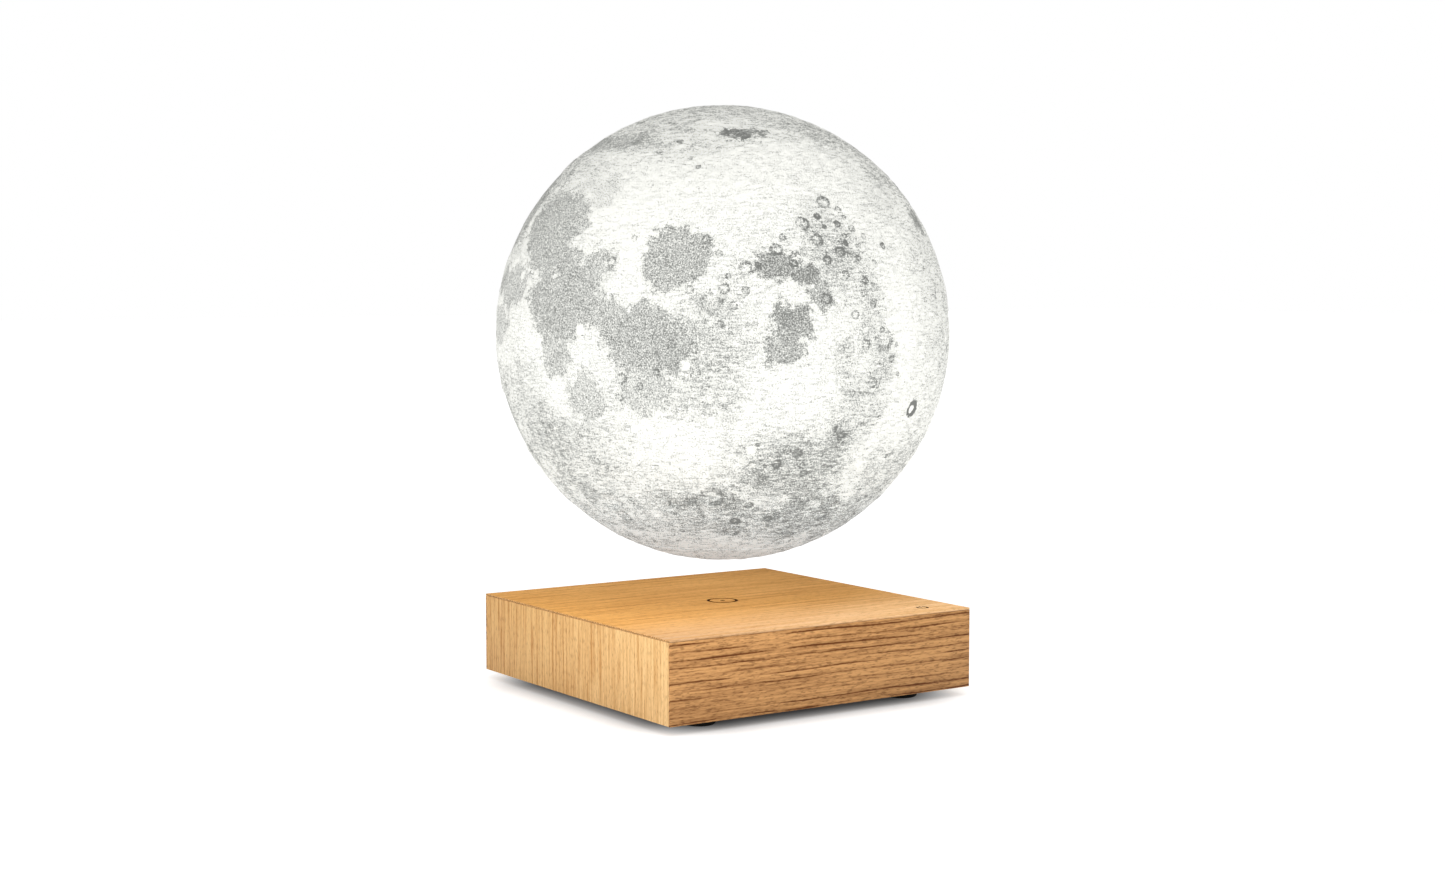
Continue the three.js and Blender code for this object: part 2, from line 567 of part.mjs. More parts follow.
function makeJack() {
  const frontMiddle = JACK_FRONT - JACK_FRONT_LENGTH / 2;
  const front = block(JACK_WIDTH, JACK_FRONT_LENGTH, JACK_HEIGHT, PART_BOTTOM).translate(0, frontMiddle, 0);
  const bodyLength = JACK_LENGTH - CUT_OVERRUN;
  const bodyMiddle = JACK_FRONT - JACK_LENGTH + bodyLength / 2;
  const lying = new THREE.CylinderGeometry(JACK_BODY_RADIUS, JACK_BODY_RADIUS, bodyLength, ROUND_SIDES);
  const body = lying.translate(0, bodyMiddle, JACK_AXIS);
  const foot = block(2 * JACK_BODY_RADIUS, bodyLength, JACK_AXIS_HEIGHT, PART_BOTTOM);
  foot.translate(0, bodyMiddle, 0);
  const boreLength = JACK_BORE_DEPTH + CUT_OVERRUN;
  const bore = new THREE.CylinderGeometry(JACK_BORE_RADIUS, JACK_BORE_RADIUS, boreLength, ROUND_SIDES);
  bore.translate(0, JACK_FRONT - JACK_BORE_DEPTH + boreLength / 2, JACK_AXIS);
  const rootRadius = JACK_PIN_RADIUS + SLIP_FIT;
  const rootLength = JACK_PIN_ROOT + SLIP_FIT + CUT_OVERRUN;
  const root = new THREE.CylinderGeometry(rootRadius, rootRadius, rootLength, SMALL_SIDES);
  const rootMiddle = JACK_FRONT - JACK_BORE_DEPTH - JACK_PIN_ROOT - SLIP_FIT + rootLength / 2;
  return cut(join(front, body, foot), bore, root.translate(0, rootMiddle, JACK_AXIS));
}

function makeJackPin() {
  const length = JACK_PIN_ROOT + JACK_BORE_DEPTH - JACK_PIN_SHORT;
  const pin = revolve([
    [0, 0],
    [JACK_PIN_RADIUS, 0],
    [JACK_PIN_RADIUS, length - JACK_PIN_RADIUS / 2],
    [JACK_PIN_RADIUS / 2, length],
    [0, length],
  ], SMALL_SIDES);
  return pin.rotateX(-Math.PI / 2).translate(0, JACK_FRONT - JACK_BORE_DEPTH - JACK_PIN_ROOT, JACK_AXIS);
}

// An electrolytic can: a rounded foot, a crimp above it, and a bevelled lid
function makeCan(radius, height, bottom) {
  const top = bottom + height;
  const crimp = bottom + 3 * CAN_ROUND;
  return revolve([
    [0, bottom],
    [radius - CAN_ROUND, bottom],
    [radius, bottom + CAN_ROUND],
    [radius, crimp],
    [radius - CAN_ROUND, crimp + CAN_ROUND],
    [radius, crimp + 2 * CAN_ROUND],
    [radius, top - CAN_ROUND],
    [radius - CAN_ROUND, top],
    [0, top],
  ], SMALL_SIDES);
}

function makeChoke() {
  const outline = roundedSquare(CHOKE_SIDE / 2, CHOKE_SIDE / 2, CHOKE_CORNER_RADIUS);
  const x = POCKET_HALF - CHOKE_TO_WALL - CHOKE_SIDE / 2;
  return plate(outline, CHOKE_HEIGHT, PART_BOTTOM).translate(x, 0, 0);
}

function makeBoardParts() {
  const canX = CAPACITOR_TO_WALL + CAPACITOR_RADIUS - POCKET_HALF;
  const cans = [-CAPACITOR_PITCH / 2, CAPACITOR_PITCH / 2].map((y) => {
    return makeCan(CAPACITOR_RADIUS, CAPACITOR_HEIGHT, PART_BOTTOM).translate(canX, y, 0);
  });
  const chipY = CHIP_TO_WALL + CONTROL_CHIP_SIDE / 2 - POCKET_HALF;
  const driveChips = [-DRIVE_CHIP_X, DRIVE_CHIP_X].map((x) => {
    const chip = bevelledBlock(DRIVE_CHIP_LENGTH, DRIVE_CHIP_WIDTH, CHIP_HEIGHT, CHIP_EDGE, PART_BOTTOM);
    return chip.translate(x, chipY, 0);
  });
  const control = bevelledBlock(CONTROL_CHIP_SIDE, CONTROL_CHIP_SIDE, CHIP_HEIGHT, CHIP_EDGE, PART_BOTTOM);
  return [
    ...pieces('capacitor', cans, ALUMINIUM),
    ...pieces('drive_chip', driveChips, CHIP_BLACK),
    piece('control_chip', control.translate(0, chipY, 0), CHIP_BLACK),
    piece('choke', makeChoke(), FERRITE),
    piece('dc_jack', makeJack(), BLACK_PLASTIC),
    piece('dc_jack_pin', makeJackPin(), NICKEL),
  ];
}

// The touch spring stands on the main board and presses on the case's roof:
// a leg, the curls and a straight tip
function makeTouchSpring() {
  const bottom = PART_BOTTOM;
  const top = POCKET_ROOF - GLUE_LINE;
  const low = bottom + 2 * TOUCH_SPRING_WIRE;
  const high = top - 2 * TOUCH_SPRING_WIRE;
  const steps = TOUCH_SPRING_CURLS * CURL_STEPS;
  const curls = Array.from({ length: steps + 1 }, (_, i) => {
    const angle = (i / CURL_STEPS) * Math.PI * 2;
    const side = new THREE.Vector3(Math.cos(angle), Math.sin(angle), 0).multiplyScalar(TOUCH_SPRING_RADIUS);
    return side.setZ(THREE.MathUtils.lerp(low, high, i / steps));
  });
  const middle = (height) => new THREE.Vector3(0, 0, height);
  const leg = [middle(bottom), middle(bottom + TOUCH_SPRING_WIRE)];
  const tip = [middle(top - TOUCH_SPRING_WIRE), middle(top)];
  reportLeastGap('touch_spring', curls, TOUCH_SPRING_WIRE, CURL_STEPS);
  const spring = wireAlong([...leg, ...curls, ...tip], TOUCH_SPRING_WIRE, CURL_SIDES);
  return spring.translate(CASE_HALF - TOUCH_INSET_X, TOUCH_INSET_Y - CASE_HALF, 0);
}

// Levitation drive

function makeTray() {
  const floor = cylinder(TRAY_RADIUS, TRAY_THICKNESS, TRAY_BOTTOM, DRIVE_SIDES);
  const rimHeight = TRAY_THICKNESS + TRAY_RIM_HEIGHT;
  const rim = ring(RING_RADIUS + SLIP_FIT, TRAY_RADIUS, rimHeight, TRAY_BOTTOM, DRIVE_SIDES);
  const legHeight = TRAY_TOP - BOARD_TOP - GLUE_LINE;
  const makeEar = () => cylinder(EAR_RADIUS, legHeight, BOARD_TOP + GLUE_LINE, SMALL_SIDES);
  const ears = atCorners(COLUMN_PLACE, COLUMN_PLACE, makeEar);
  const armLength = 2 * (TRAY_RADIUS + EAR_ARM + EAR_RADIUS);
  const arms = [Math.PI / 4, -Math.PI / 4].map((angle) => {
    return block(armLength, EAR_RADIUS, TRAY_THICKNESS, TRAY_BOTTOM).rotateZ(angle);
  });
  const cutHeight = rimHeight + TRAY_LIFT + 2 * CUT_OVERRUN;
  const cutBottom = BOARD_TOP - CUT_OVERRUN;
  const bores = inCross(COIL_PLACE, () => cylinder(BOBBIN_BORE, cutHeight, cutBottom, COIL_SIDES));
  const makeHole = () => cylinder(SCREW_HOLE_RADIUS, cutHeight, cutBottom, SCREW_SIDES);
  const holes = atCorners(COLUMN_PLACE, COLUMN_PLACE, makeHole);
  return cut(join(floor, rim, ...ears, ...arms), ...bores, ...holes);
}

function makeBobbin() {
  const tube = BOBBIN_BORE + BOBBIN_WALL;
  const top = DRIVE_BOTTOM + BOBBIN_HEIGHT;
  return revolve([
    [BOBBIN_BORE, DRIVE_BOTTOM],
    [COIL_RADIUS, DRIVE_BOTTOM],
    [COIL_RADIUS, DRIVE_BOTTOM + BOBBIN_FLANGE],
    [tube, DRIVE_BOTTOM + BOBBIN_FLANGE],
    [tube, top - BOBBIN_FLANGE],
    [COIL_RADIUS, top - BOBBIN_FLANGE],
    [COIL_RADIUS, top],
    [BOBBIN_BORE, top],
    [BOBBIN_BORE, DRIVE_BOTTOM],
  ], COIL_SIDES);
}

function makeWinding() {
  const bore = BOBBIN_BORE + BOBBIN_WALL + SLIP_FIT;
  const bottom = DRIVE_BOTTOM + BOBBIN_FLANGE + SLIP_FIT;
  const height = BOBBIN_HEIGHT - 2 * BOBBIN_FLANGE - 2 * SLIP_FIT;
  return ring(bore, COIL_RADIUS - WINDING_INSET, height, bottom, COIL_SIDES);
}

// An iron core, put up through the tray from below, with its head under the floor
function makeCore() {
  const headTop = TRAY_BOTTOM - GLUE_LINE;
  const headBottom = headTop - CORE_HEAD_HEIGHT;
  const top = DRIVE_BOTTOM + BOBBIN_HEIGHT;
  return revolve([
    [0, headBottom],
    [CORE_HEAD_RADIUS - CORE_HEAD_ROUND, headBottom],
    [CORE_HEAD_RADIUS, headBottom + CORE_HEAD_ROUND],
    [CORE_HEAD_RADIUS, headTop],
    [CORE_RADIUS, headTop],
    [CORE_RADIUS, top],
    [0, top],
  ], COIL_SIDES);
}

// Three field sensors on a small board between the coils: two upright, square to each other, and one lying
function makeSensors() {
  const board = 2 * HALL_BOARD_HALF;
  const bottom = DRIVE_BOTTOM + HALL_BOARD_THICKNESS + GLUE_LINE;
  const upright = () => bevelledBlock(SENSOR_THICKNESS, SENSOR_LENGTH, SENSOR_HEIGHT, SENSOR_BEVEL, bottom);
  const lying = bevelledBlock(SENSOR_LENGTH, SENSOR_HEIGHT, SENSOR_THICKNESS, SENSOR_BEVEL, bottom);
  const sideStep = (SENSOR_LENGTH + SENSOR_GAP) / 2;
  const backStep = (SENSOR_HEIGHT + SENSOR_GAP) / 2;
  const frontStep = (SENSOR_THICKNESS + SENSOR_GAP) / 2;
  const sensors = [
    upright().translate(-sideStep, 0, 0),
    upright().rotateZ(Math.PI / 2).translate(frontStep, backStep, 0),
    lying.translate(frontStep, -frontStep, 0),
  ];
  return [
    piece('hall_board', block(board, board, HALL_BOARD_THICKNESS, DRIVE_BOTTOM), BOARD_GREEN),
    ...pieces('hall_sensor', sensors, CHIP_BLACK),
  ];
}

function makePowerPlate() {
  const bottom = POWER_PLATE_TOP - POWER_PLATE_THICKNESS;
  return ring(POWER_PLATE_BORE, POWER_PLATE_RADIUS, POWER_PLATE_THICKNESS, bottom, DRIVE_SIDES);
}

function makePowerCoil() {
  const innerRadius = POWER_PLATE_RADIUS - POWER_EDGE - POWER_PITCH * POWER_TURNS;
  return flatWinding('power_coil', innerRadius, POWER_PITCH, POWER_TURNS, POWER_WIRE, POWER_WIRE_MIDDLE);
}

function makeDrive() {
  return [
    piece('coil_tray', makeTray(), BLACK_PLASTIC),
    ...pieces('tray_screw', atCorners(COLUMN_PLACE, COLUMN_PLACE, makeTrayScrew), STEEL),
    piece('ring_magnet', ring(RING_BORE, RING_RADIUS, RING_HEIGHT, DRIVE_BOTTOM, DRIVE_SIDES), FERRITE),
    ...pieces('coil_core', inCross(COIL_PLACE, makeCore), STEEL),
    ...pieces('coil_bobbin', inCross(COIL_PLACE, makeBobbin), WHITE_PLASTIC),
    ...pieces('coil_winding', inCross(COIL_PLACE, makeWinding), COPPER),
    ...makeSensors(),
    piece('power_coil_plate', makePowerPlate(), WHITE_PLASTIC),
    piece('power_coil', makePowerCoil(), COPPER),
  ];
}

// Moon, about its own centre

// The printed shell is one wall all round, with a mouth below. A collar inside the mouth stiffens it,
// and its ledge stops the lid.
function makeShell() {
  const top = Math.PI / 2;
  const collarRadius = MOUTH_RADIUS + COLLAR_WALL;
  const collarTop = LEDGE_HEIGHT + COLLAR_THICKNESS;
  const inner = arcPoints(HOLLOW_RADIUS, top, -Math.acos(collarRadius / HOLLOW_RADIUS), MOON_INNER_STEPS);
  const lower = arcPoints(MOON_RADIUS, -Math.acos(MOUTH_RADIUS / MOON_RADIUS), 0, MOON_LOWER_STEPS);
  const upper = arcPoints(MOON_RADIUS, 0, top, MOON_UPPER_STEPS);
  return revolve([
    ...inner,
    [collarRadius, collarTop],
    [COLLAR_BORE, collarTop],
    [COLLAR_BORE, LEDGE_HEIGHT],
    [MOUTH_RADIUS, LEDGE_HEIGHT],
    ...lower,
    ...upper.slice(1),
  ], MOON_SIDES);
}

// The lid carries the round on across the mouth. Its rim is glued under the ledge.
function makeLid() {
  const outer = arcPoints(MOON_RADIUS, -Math.PI / 2, -Math.acos(LID_RADIUS / MOON_RADIUS), LID_OUTER_STEPS);
  const rimAngle = -Math.acos(LID_RIM_BORE / HOLLOW_RADIUS);
  const floorAngle = -Math.acos(LID_FLOOR_RADIUS / HOLLOW_RADIUS);
  const inner = arcPoints(HOLLOW_RADIUS, rimAngle, floorAngle, LID_INNER_STEPS);
  const rimTop = LEDGE_HEIGHT - GLUE_LINE;
  return revolve([
    ...outer,
    [LID_RADIUS, rimTop],
    [LID_RIM_BORE, rimTop],
    ...inner,
    [0, LID_FLOOR],
  ], MOON_SIDES);
}

// A cap over the magnet, with a flange for the receiver winding and four posts for the lamp board
function makeHolder() {
  const cap = revolve([
    [0, HOLDER_CEILING],
    [HOLDER_BORE, HOLDER_CEILING],
    [HOLDER_BORE, HOLDER_BOTTOM],
    [HOLDER_RADIUS, HOLDER_BOTTOM],
    [HOLDER_RADIUS, FLANGE_BOTTOM],
    [FLANGE_RADIUS, FLANGE_BOTTOM],
    [FLANGE_RADIUS, FLANGE_TOP],
    [HOLDER_RADIUS, FLANGE_TOP],
    [HOLDER_RADIUS, HOLDER_TOP],
    [0, HOLDER_TOP],
  ]);
  const root = HOLDER_TOP - HOLDER_WALL / 2;
  const postHeight = LAMP_POST_HEIGHT + HOLDER_WALL / 2;
  const posts = inCross(LAMP_POST_PLACE, () => cylinder(LAMP_POST_RADIUS, postHeight, root, SMALL_SIDES));
  const pinHeight = postHeight + BOARD_THICKNESS + LAMP_PIN_PROUD;
  const pins = inCross(LAMP_POST_PLACE, () => cylinder(LAMP_PIN_RADIUS, pinHeight, root, SMALL_SIDES));
  return join(cap, ...posts, ...pins);
}

function makeMagnet() {
  const top = MAGNET_BOTTOM + MAGNET_HEIGHT;
  return revolve([
    [0, MAGNET_BOTTOM],
    [MAGNET_RADIUS - MAGNET_EDGE, MAGNET_BOTTOM],
    [MAGNET_RADIUS, MAGNET_BOTTOM + MAGNET_EDGE],
    [MAGNET_RADIUS, top - MAGNET_EDGE],
    [MAGNET_RADIUS - MAGNET_EDGE, top],
    [0, top],
  ]);
}

function makeReceiverCoil() {
  const height = FLANGE_TOP + GLUE_LINE + RECEIVER_WIRE / 2;
  return flatWinding('receiver_coil', RECEIVER_INNER, RECEIVER_PITCH, RECEIVER_TURNS, RECEIVER_WIRE, height);
}

function makeLampBoard() {
  const disc = cylinder(LAMP_BOARD_RADIUS, BOARD_THICKNESS, LAMP_BOARD_BOTTOM);
  const holeRadius = LAMP_PIN_RADIUS + SLIP_FIT;
  const holeHeight = BOARD_THICKNESS + 2 * CUT_OVERRUN;
  const makeHole = () => cylinder(holeRadius, holeHeight, LAMP_BOARD_BOTTOM - CUT_OVERRUN, SMALL_SIDES);
  return cut(disc, ...inCross(LAMP_POST_PLACE, makeHole));
}

function makeMoon() {
  const makeLed = () => bevelledBlock(LED_SIDE, LED_SIDE, LED_HEIGHT, LED_EDGE, LAMP_PART_BOTTOM);
  const moon = new THREE.Group();
  moon.position.z = MOON_HEIGHT;
  return moon.add(
    piece('moon_shell', makeShell(), PRINTED_WHITE),
    piece('moon_lid', makeLid(), PRINTED_WHITE),
    piece('magnet_holder', makeHolder(), WHITE_PLASTIC),
    piece('float_magnet', makeMagnet(), NICKEL),
    piece('receiver_coil', makeReceiverCoil(), COPPER),
    piece('lamp_board', makeLampBoard(), WHITE_PLASTIC),
    ...pieces('led', atCorners(LED_PLACE, LED_PLACE, makeLed), LED_WHITE),
    piece('store_capacitor', makeCan(STORE_RADIUS, STORE_HEIGHT, LAMP_PART_BOTTOM), ALUMINIUM),
  );
}

function makeBase() {
  const base = new THREE.Group();
  return base.add(
    piece('casing', makeCasing(), FIBREBOARD),
    ...makeVeneers(),
    piece('bottom_cover', makeCover(), BLACK_PLASTIC),
    ...pieces('rubber_foot', atCorners(FOOT_X, FOOT_Y, makeFoot), BLACK_RUBBER),
    ...pieces('cover_screw', atCorners(ISLAND_X, ISLAND_Y, makeCoverScrew), STEEL),
    piece('main_board', makeMainBoard(), BOARD_GREEN),
    ...makeBoardParts(),
    piece('touch_spring', makeTouchSpring(), STEEL),
    ...makeDrive(),
  );
}

const lamp = new THREE.Group();
lamp.add(makeBase(), makeMoon());
export default lamp;
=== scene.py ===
# A moon lamp: a printed moon that floats over a square case veneered in oak. Metres, +Z up.
# The origin is on the floor under the middle of the case, and the front, with the touch mark, faces -Y.
import json
import math
import random

import bmesh
import bpy
import numpy as np
from bpy.props import FloatProperty, FloatVectorProperty, IntProperty, PointerProperty
from mathutils import Matrix, Vector, kdtree, noise

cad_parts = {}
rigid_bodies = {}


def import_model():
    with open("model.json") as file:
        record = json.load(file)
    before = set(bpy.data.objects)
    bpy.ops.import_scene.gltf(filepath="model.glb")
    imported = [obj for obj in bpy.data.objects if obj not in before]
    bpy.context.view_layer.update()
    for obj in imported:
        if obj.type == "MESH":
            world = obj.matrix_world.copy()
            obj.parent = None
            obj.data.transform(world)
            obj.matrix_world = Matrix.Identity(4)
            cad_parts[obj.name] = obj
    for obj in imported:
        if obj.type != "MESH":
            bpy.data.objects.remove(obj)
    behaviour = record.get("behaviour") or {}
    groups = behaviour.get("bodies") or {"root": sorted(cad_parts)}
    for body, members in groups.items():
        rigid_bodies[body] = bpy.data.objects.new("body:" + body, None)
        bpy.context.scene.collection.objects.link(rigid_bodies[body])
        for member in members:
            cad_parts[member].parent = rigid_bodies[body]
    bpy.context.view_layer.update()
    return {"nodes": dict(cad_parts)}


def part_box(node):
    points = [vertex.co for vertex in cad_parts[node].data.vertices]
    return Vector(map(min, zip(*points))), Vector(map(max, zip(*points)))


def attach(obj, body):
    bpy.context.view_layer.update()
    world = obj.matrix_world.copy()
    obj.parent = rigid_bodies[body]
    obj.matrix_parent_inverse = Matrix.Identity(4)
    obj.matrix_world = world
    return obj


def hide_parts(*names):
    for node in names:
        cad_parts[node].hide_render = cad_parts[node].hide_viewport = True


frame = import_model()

bl_info = {
    "name": "Moon Lamp",
    "version": (1, 0, 0),
    "blender": (4, 5, 0),
    "location": "View3D > Sidebar > Moon Lamp",
    "description": "Builds the looks of a lamp whose printed moon floats over a wooden case",
    "category": "Object",
}

MM = 0.001

# Places and sizes taken from the frame
TOP_LOW, TOP_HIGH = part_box("veneer_top")
COVER_LOW, COVER_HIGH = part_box("bottom_cover")
SHELL_LOW, SHELL_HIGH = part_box("moon_shell")
LID_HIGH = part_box("moon_lid")[1]
JACK_LOW, JACK_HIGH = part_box("dc_jack")
PIN_LOW, PIN_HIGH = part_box("dc_jack_pin")
CORE_LOW, CORE_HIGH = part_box("casing")
TOUCH_LOW, TOUCH_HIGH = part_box("touch_spring")

MOON_RADIUS = SHELL_HIGH.x
MOON_MIDDLE = Vector((0, 0, SHELL_HIGH.z - MOON_RADIUS))
MOUTH_RADIUS = math.sqrt(MOON_RADIUS**2 - (MOON_MIDDLE.z - SHELL_LOW.z) ** 2)
HOLLOW_RADIUS = MOON_RADIUS - 1.6 * MM
TOUCH_PLACE = (TOUCH_LOW + TOUCH_HIGH) / 2
JACK_AXIS = (PIN_LOW.z + PIN_HIGH.z) / 2

GLUE_LINE = 0.05 * MM
SLIP_FIT = 0.3 * MM
OVERRUN = MM  # how far a cutter reaches past the faces that it cuts
WELD = MM / 1000  # corners nearer than this are one
SHARP_ANGLE = math.radians(35)

# How the printed globe is turned: its pole leans back a little, and its sea of crises faces the camera
MOON_LEAN = -2.6
MOON_TURN = 166.6

# Grey seas with a clear shore: longitude, latitude, half width, half height, tilt, all in degrees, and grey
SEAS = (
    (18, 27.5, 12, 10, 0, 0.49), (22, 18.5, 10, 6, 0, 0.48),  # serenity
    (34.5, 36, 4, 5, 0, 0.24), (25, 39.5, 4, 3, 0, 0.22),  # dreams
    (28, 8.5, 12.5, 9.5, 0, 0.5), (37.5, 16, 5, 4.6, 30, 0.44),  # tranquility
    (43, 4.5, 6, 3.6, -15, 0.46), (26, -5, 4.4, 4.6, 0, 0.42),
    (51, -2, 11, 8, -10, 0.5), (50, -13, 6.5, 6, 0, 0.34),  # fertility
    (34, -14.5, 5.6, 5.8, 0, 0.38),  # nectar
    (58.5, 17, 9, 7.2, -6, 0.5),  # crises
    (65.5, 6.5, 3.2, 2.6, 0, 0.34),  # waves
    (64, 0, 5, 2.2, 0, 0.3),  # foam
    (5, 12.5, 8, 5, 12, 0.42), (-7, 14.5, 6, 4, 0, 0.5), (-6, 4, 9, 5, 0, 0.38),  # vapours
    (2, 56.5, 8, 3.8, 0, 0.5), (22, 55, 13, 2.8, -4, 0.4), (34, 54, 3.4, 2.3, 0, 0.52),  # cold
    (83.3, 15, 5, 3.6, -15, 0.64), (89.3, 12.3, 4.4, 3.2, -25, 0.66),  # the east margin
    (93.6, 7.6, 2.6, 4, 10, 0.5), (86, 1.8, 5.4, 5, 0, 0.66), (83.8, -4.4, 4.8, 4.2, 0, 0.54),
    (77.5, 55.3, 4.4, 2.4, 0, 1), (83, 56, 3, 1.4, 0, 0.66),  # the small dark one by the north
    (142.5, 27.6, 4.4, 3, 10, 0.64), (163, -34, 5, 4, 0, 0.52),  # the far side's
    (-95, -19.5, 4.6, 4.6, 0, 0.52), (-152, -37, 3.2, 3, 0, 0.42),
    (-19, 34, 16.5, 14.5, 0, 0.46),  # rains
    (-52, 18, 15, 25, 12, 0.5), (-45, 47, 13, 5, 0, 0.44), (-30, 8, 9, 7, 0, 0.44),  # storms
    (-23, -10, 7, 6, 0, 0.46),
    (-16, -21, 10, 9, 0, 0.4),  # clouds
    (-39, -24, 6.2, 6.2, 0, 0.52), (-28, -37, 4, 2, 0, 0.36),  # moisture
)

# Soft greys of the highlands, in the same units. A negative one is bright ground that stays clean.
HAZES = (
    (68, -1, 11, 7, 0, 0.3), (66, -13, 9, 9, 0, 0.27), (50, -13, 9, 6, 0, 0.14),
    (0, 34, 10, 15, 0, 0.34), (-11, -18, 8, 14, 0, 0.3), (8, -18, 14, 12, 0, 0.26),
    (24, -24, 9, 8, 0, 0.1), (16, 45, 18, 7, -8, 0.16), (10, 56, 26, 4, 0, 0.14),
    (50, 54, 16, 6, 0, 0.14), (58, 48, 7, 4, 0, 0.12), (70, 72, 60, 12, 0, 0.3),
    (0, 90, 17, 17, 0, 0.2), (110, 58, 18, 7, 0, 0.16), (124, 36, 10, 14, 0, 0.08),
    (76, 12, 7, 6, 0, 0.12), (96, 22, 8, 10, 0, 0.32), (103, 13, 8, 8, 0, 0.22),
    (107, 3, 4, 9, -8, 0.26), (111, -7, 5, 6, 0, 0.32), (100, -6, 5, 5, 0, 0.2),
    (106, -19, 9, 9, 0, 0.26), (92, -36, 17, 12, 0, 0.55), (92, -53, 24, 8, 0, 0.4),
    (63, -41, 12, 5, 0, 0.2), (50, -50, 26, 9, 0, 0.2), (20, -30, 22, 12, 0, 0.24),
    (14, -47, 24, 16, 0, 0.16), (70, -90, 34, 34, 0, 0.2), (126, -56, 22, 9, 0, 0.28),
    (130, -38, 13, 10, 0, 0.3), (142, -14, 14, 16, 0, 0.14), (140, 10, 13, 20, 0, 0.12),
    (-170, -53, 34, 26, 0, 0.36), (-95, -19.5, 12, 12, 0, 0.24), (170, 20, 40, 40, 0, 0.18),
    (-120, 10, 40, 40, 0, 0.18), (-30, -55, 30, 20, 0, 0.26), (62, 35, 26, 8, -4, -0.3),
    (42, 28, 12, 5, -8, -0.5), (47, 16, 3.5, 8, 15, -0.5), (4.5, 27, 2.5, 7, 15, -0.6),
    (117, 1, 5, 13, 8, -0.6), (50, -27, 13, 4, 8, -0.4), (24, -14, 4, 6, 30, -0.6),
    (18, 0, 5, 5, 0, -0.5), (110, -35, 4, 7, 0, -0.5),
)

# Craters that stand out: longitude, latitude, radius in degrees, how dark the floor is, and the rim.
# A negative floor is bright.
CRATERS = (
    (126, -20, 1.9, -0.4, 3.4), (95.8, 27, 0.95, 0.85, 0.4), (91, 25.2, 1.7, 0.05, 0.55),
    (90.4, 25, 0.5, 0.35, 0.1), (97, 24.4, 0.7, 0.6, 0.3), (101.3, 25.2, 0.9, 0.45, 0.5),
    (102.3, 20.3, 0.8, 0.7, 0.4), (114.5, 19.7, 0.9, 0.7, 0.4), (99, 31, 1.7, 0.05, 0.6),
    (103, 29, 0.9, 0.2, 0.5), (94, 21, 1.5, 0.1, 0.45), (96, 16, 1.1, 0.2, 0.4),
    (85, 21.7, 0.9, 0.3, 0.5), (83, 18.6, 1.5, 0.3, 0.4), (87, 15.3, 1, 0.4, 0.4),
    (75.3, 14.2, 1.7, 0.05, 0.5), (78.2, 15, 0.8, 0.45, 0.3), (94.5, 6.8, 1.4, 0.1, 0.5),
    (67, 6.5, 2.4, -0.1, 0.35), (106, 11, 1, 0.35, 0.35), (108, 10, 0.7, 0.4, 0.2),
    (116.4, -11, 0.7, 0.5, 0.3), (113.6, -7.4, 1, 0.35, 0.3), (111, -3, 2.4, 0, 0.35),
    (105.5, 24, 1, 0.25, 0.45), (104, 27, 0.7, 0.35, 0.35), (108.5, 22, 0.8, 0.2, 0.4),
    (100, 18, 1.3, 0.15, 0.45), (105, 16.5, 0.8, 0.35, 0.35), (100.5, 12.5, 1, 0.2, 0.4),
    (110, 15.5, 0.7, 0.35, 0.3), (102, 3, 1.1, 0.15, 0.4), (107.5, 5.5, 0.9, 0.25, 0.35),
    (110, -0.5, 0.8, 0.3, 0.35), (105, -4, 1.2, 0.1, 0.4), (98, -5, 1, 0.2, 0.35),
    (115, -4, 0.7, 0.35, 0.3), (108, -13, 1.2, 0.15, 0.35), (102, -15.5, 0.9, 0.2, 0.3),
    (75, 9, 1, 0.2, 0.4), (71, 12.5, 0.8, 0.3, 0.4), (69, 18, 0.9, 0.25, 0.45),
    (66, 21.5, 1.2, 0.2, 0.25), (61, 24.5, 0.8, 0.2, 0.35), (53, 24.8, 0.8, 0.2, 0.35),
    (72, 5.5, 1.1, 0.2, 0.35), (69, 1.5, 0.9, 0.2, 0.3), (70, 9.5, 1.3, 0.1, 0.4),
    (62, 9.5, 1, 0.1, 0.35), (47.5, 22.5, 0.8, 0.15, 0.3), (42, 17, 1.2, 0.05, 0.3),
    (54.7, 52.3, 1, 0.55, 0.2), (63, 42.4, 0.8, 0.5, 0.2), (60, 45.5, 0.7, 0.3, 0.2),
    (76.4, -29, 1.6, -0.25, 0.2), (77.8, -27.4, 0.6, 0.45, 0.3), (83.5, -33, 1.2, 0.2, 0.4),
    (89, -30.3, 1.3, 0.35, 0.3), (101, -26, 1.3, 0.35, 0.3), (92.5, -36, 1.1, 0.25, 0.3),
    (122.6, -32.4, 0.7, 0.45, 0.2), (76.8, -45.8, 1.1, 0.35, 0.3), (79.4, -47.6, 0.9, 0.3, 0.3),
    (72.4, -52, 1.3, 0.4, 0.2), (93, -53, 0.9, 0.3, 0.3), (85, -51.5, 1.1, 0.3, 0.3),
    (44.6, -10.4, 1.3, 0.1, 0.35), (43.4, -15, 1, 0.1, 0.35), (49, -12.4, 0.9, 0.1, 0.35),
    (53.6, -9.2, 0.8, 0.1, 0.35), (34, 1.2, 1.5, -0.5, 0), (60.4, -7.8, 1.4, -0.4, 0),
    (9.5, 15.2, 1.3, -0.45, 0), (16.4, 15.2, 1.3, -0.45, 0), (24.4, 14.2, 0.8, -0.4, 0),
    (-11.3, -43.3, 2.4, -0.5, 0.1), (-20, 9.6, 1.8, -0.5, 0.1), (-9.3, 51.6, 1.7, 0.55, 0.1),
)

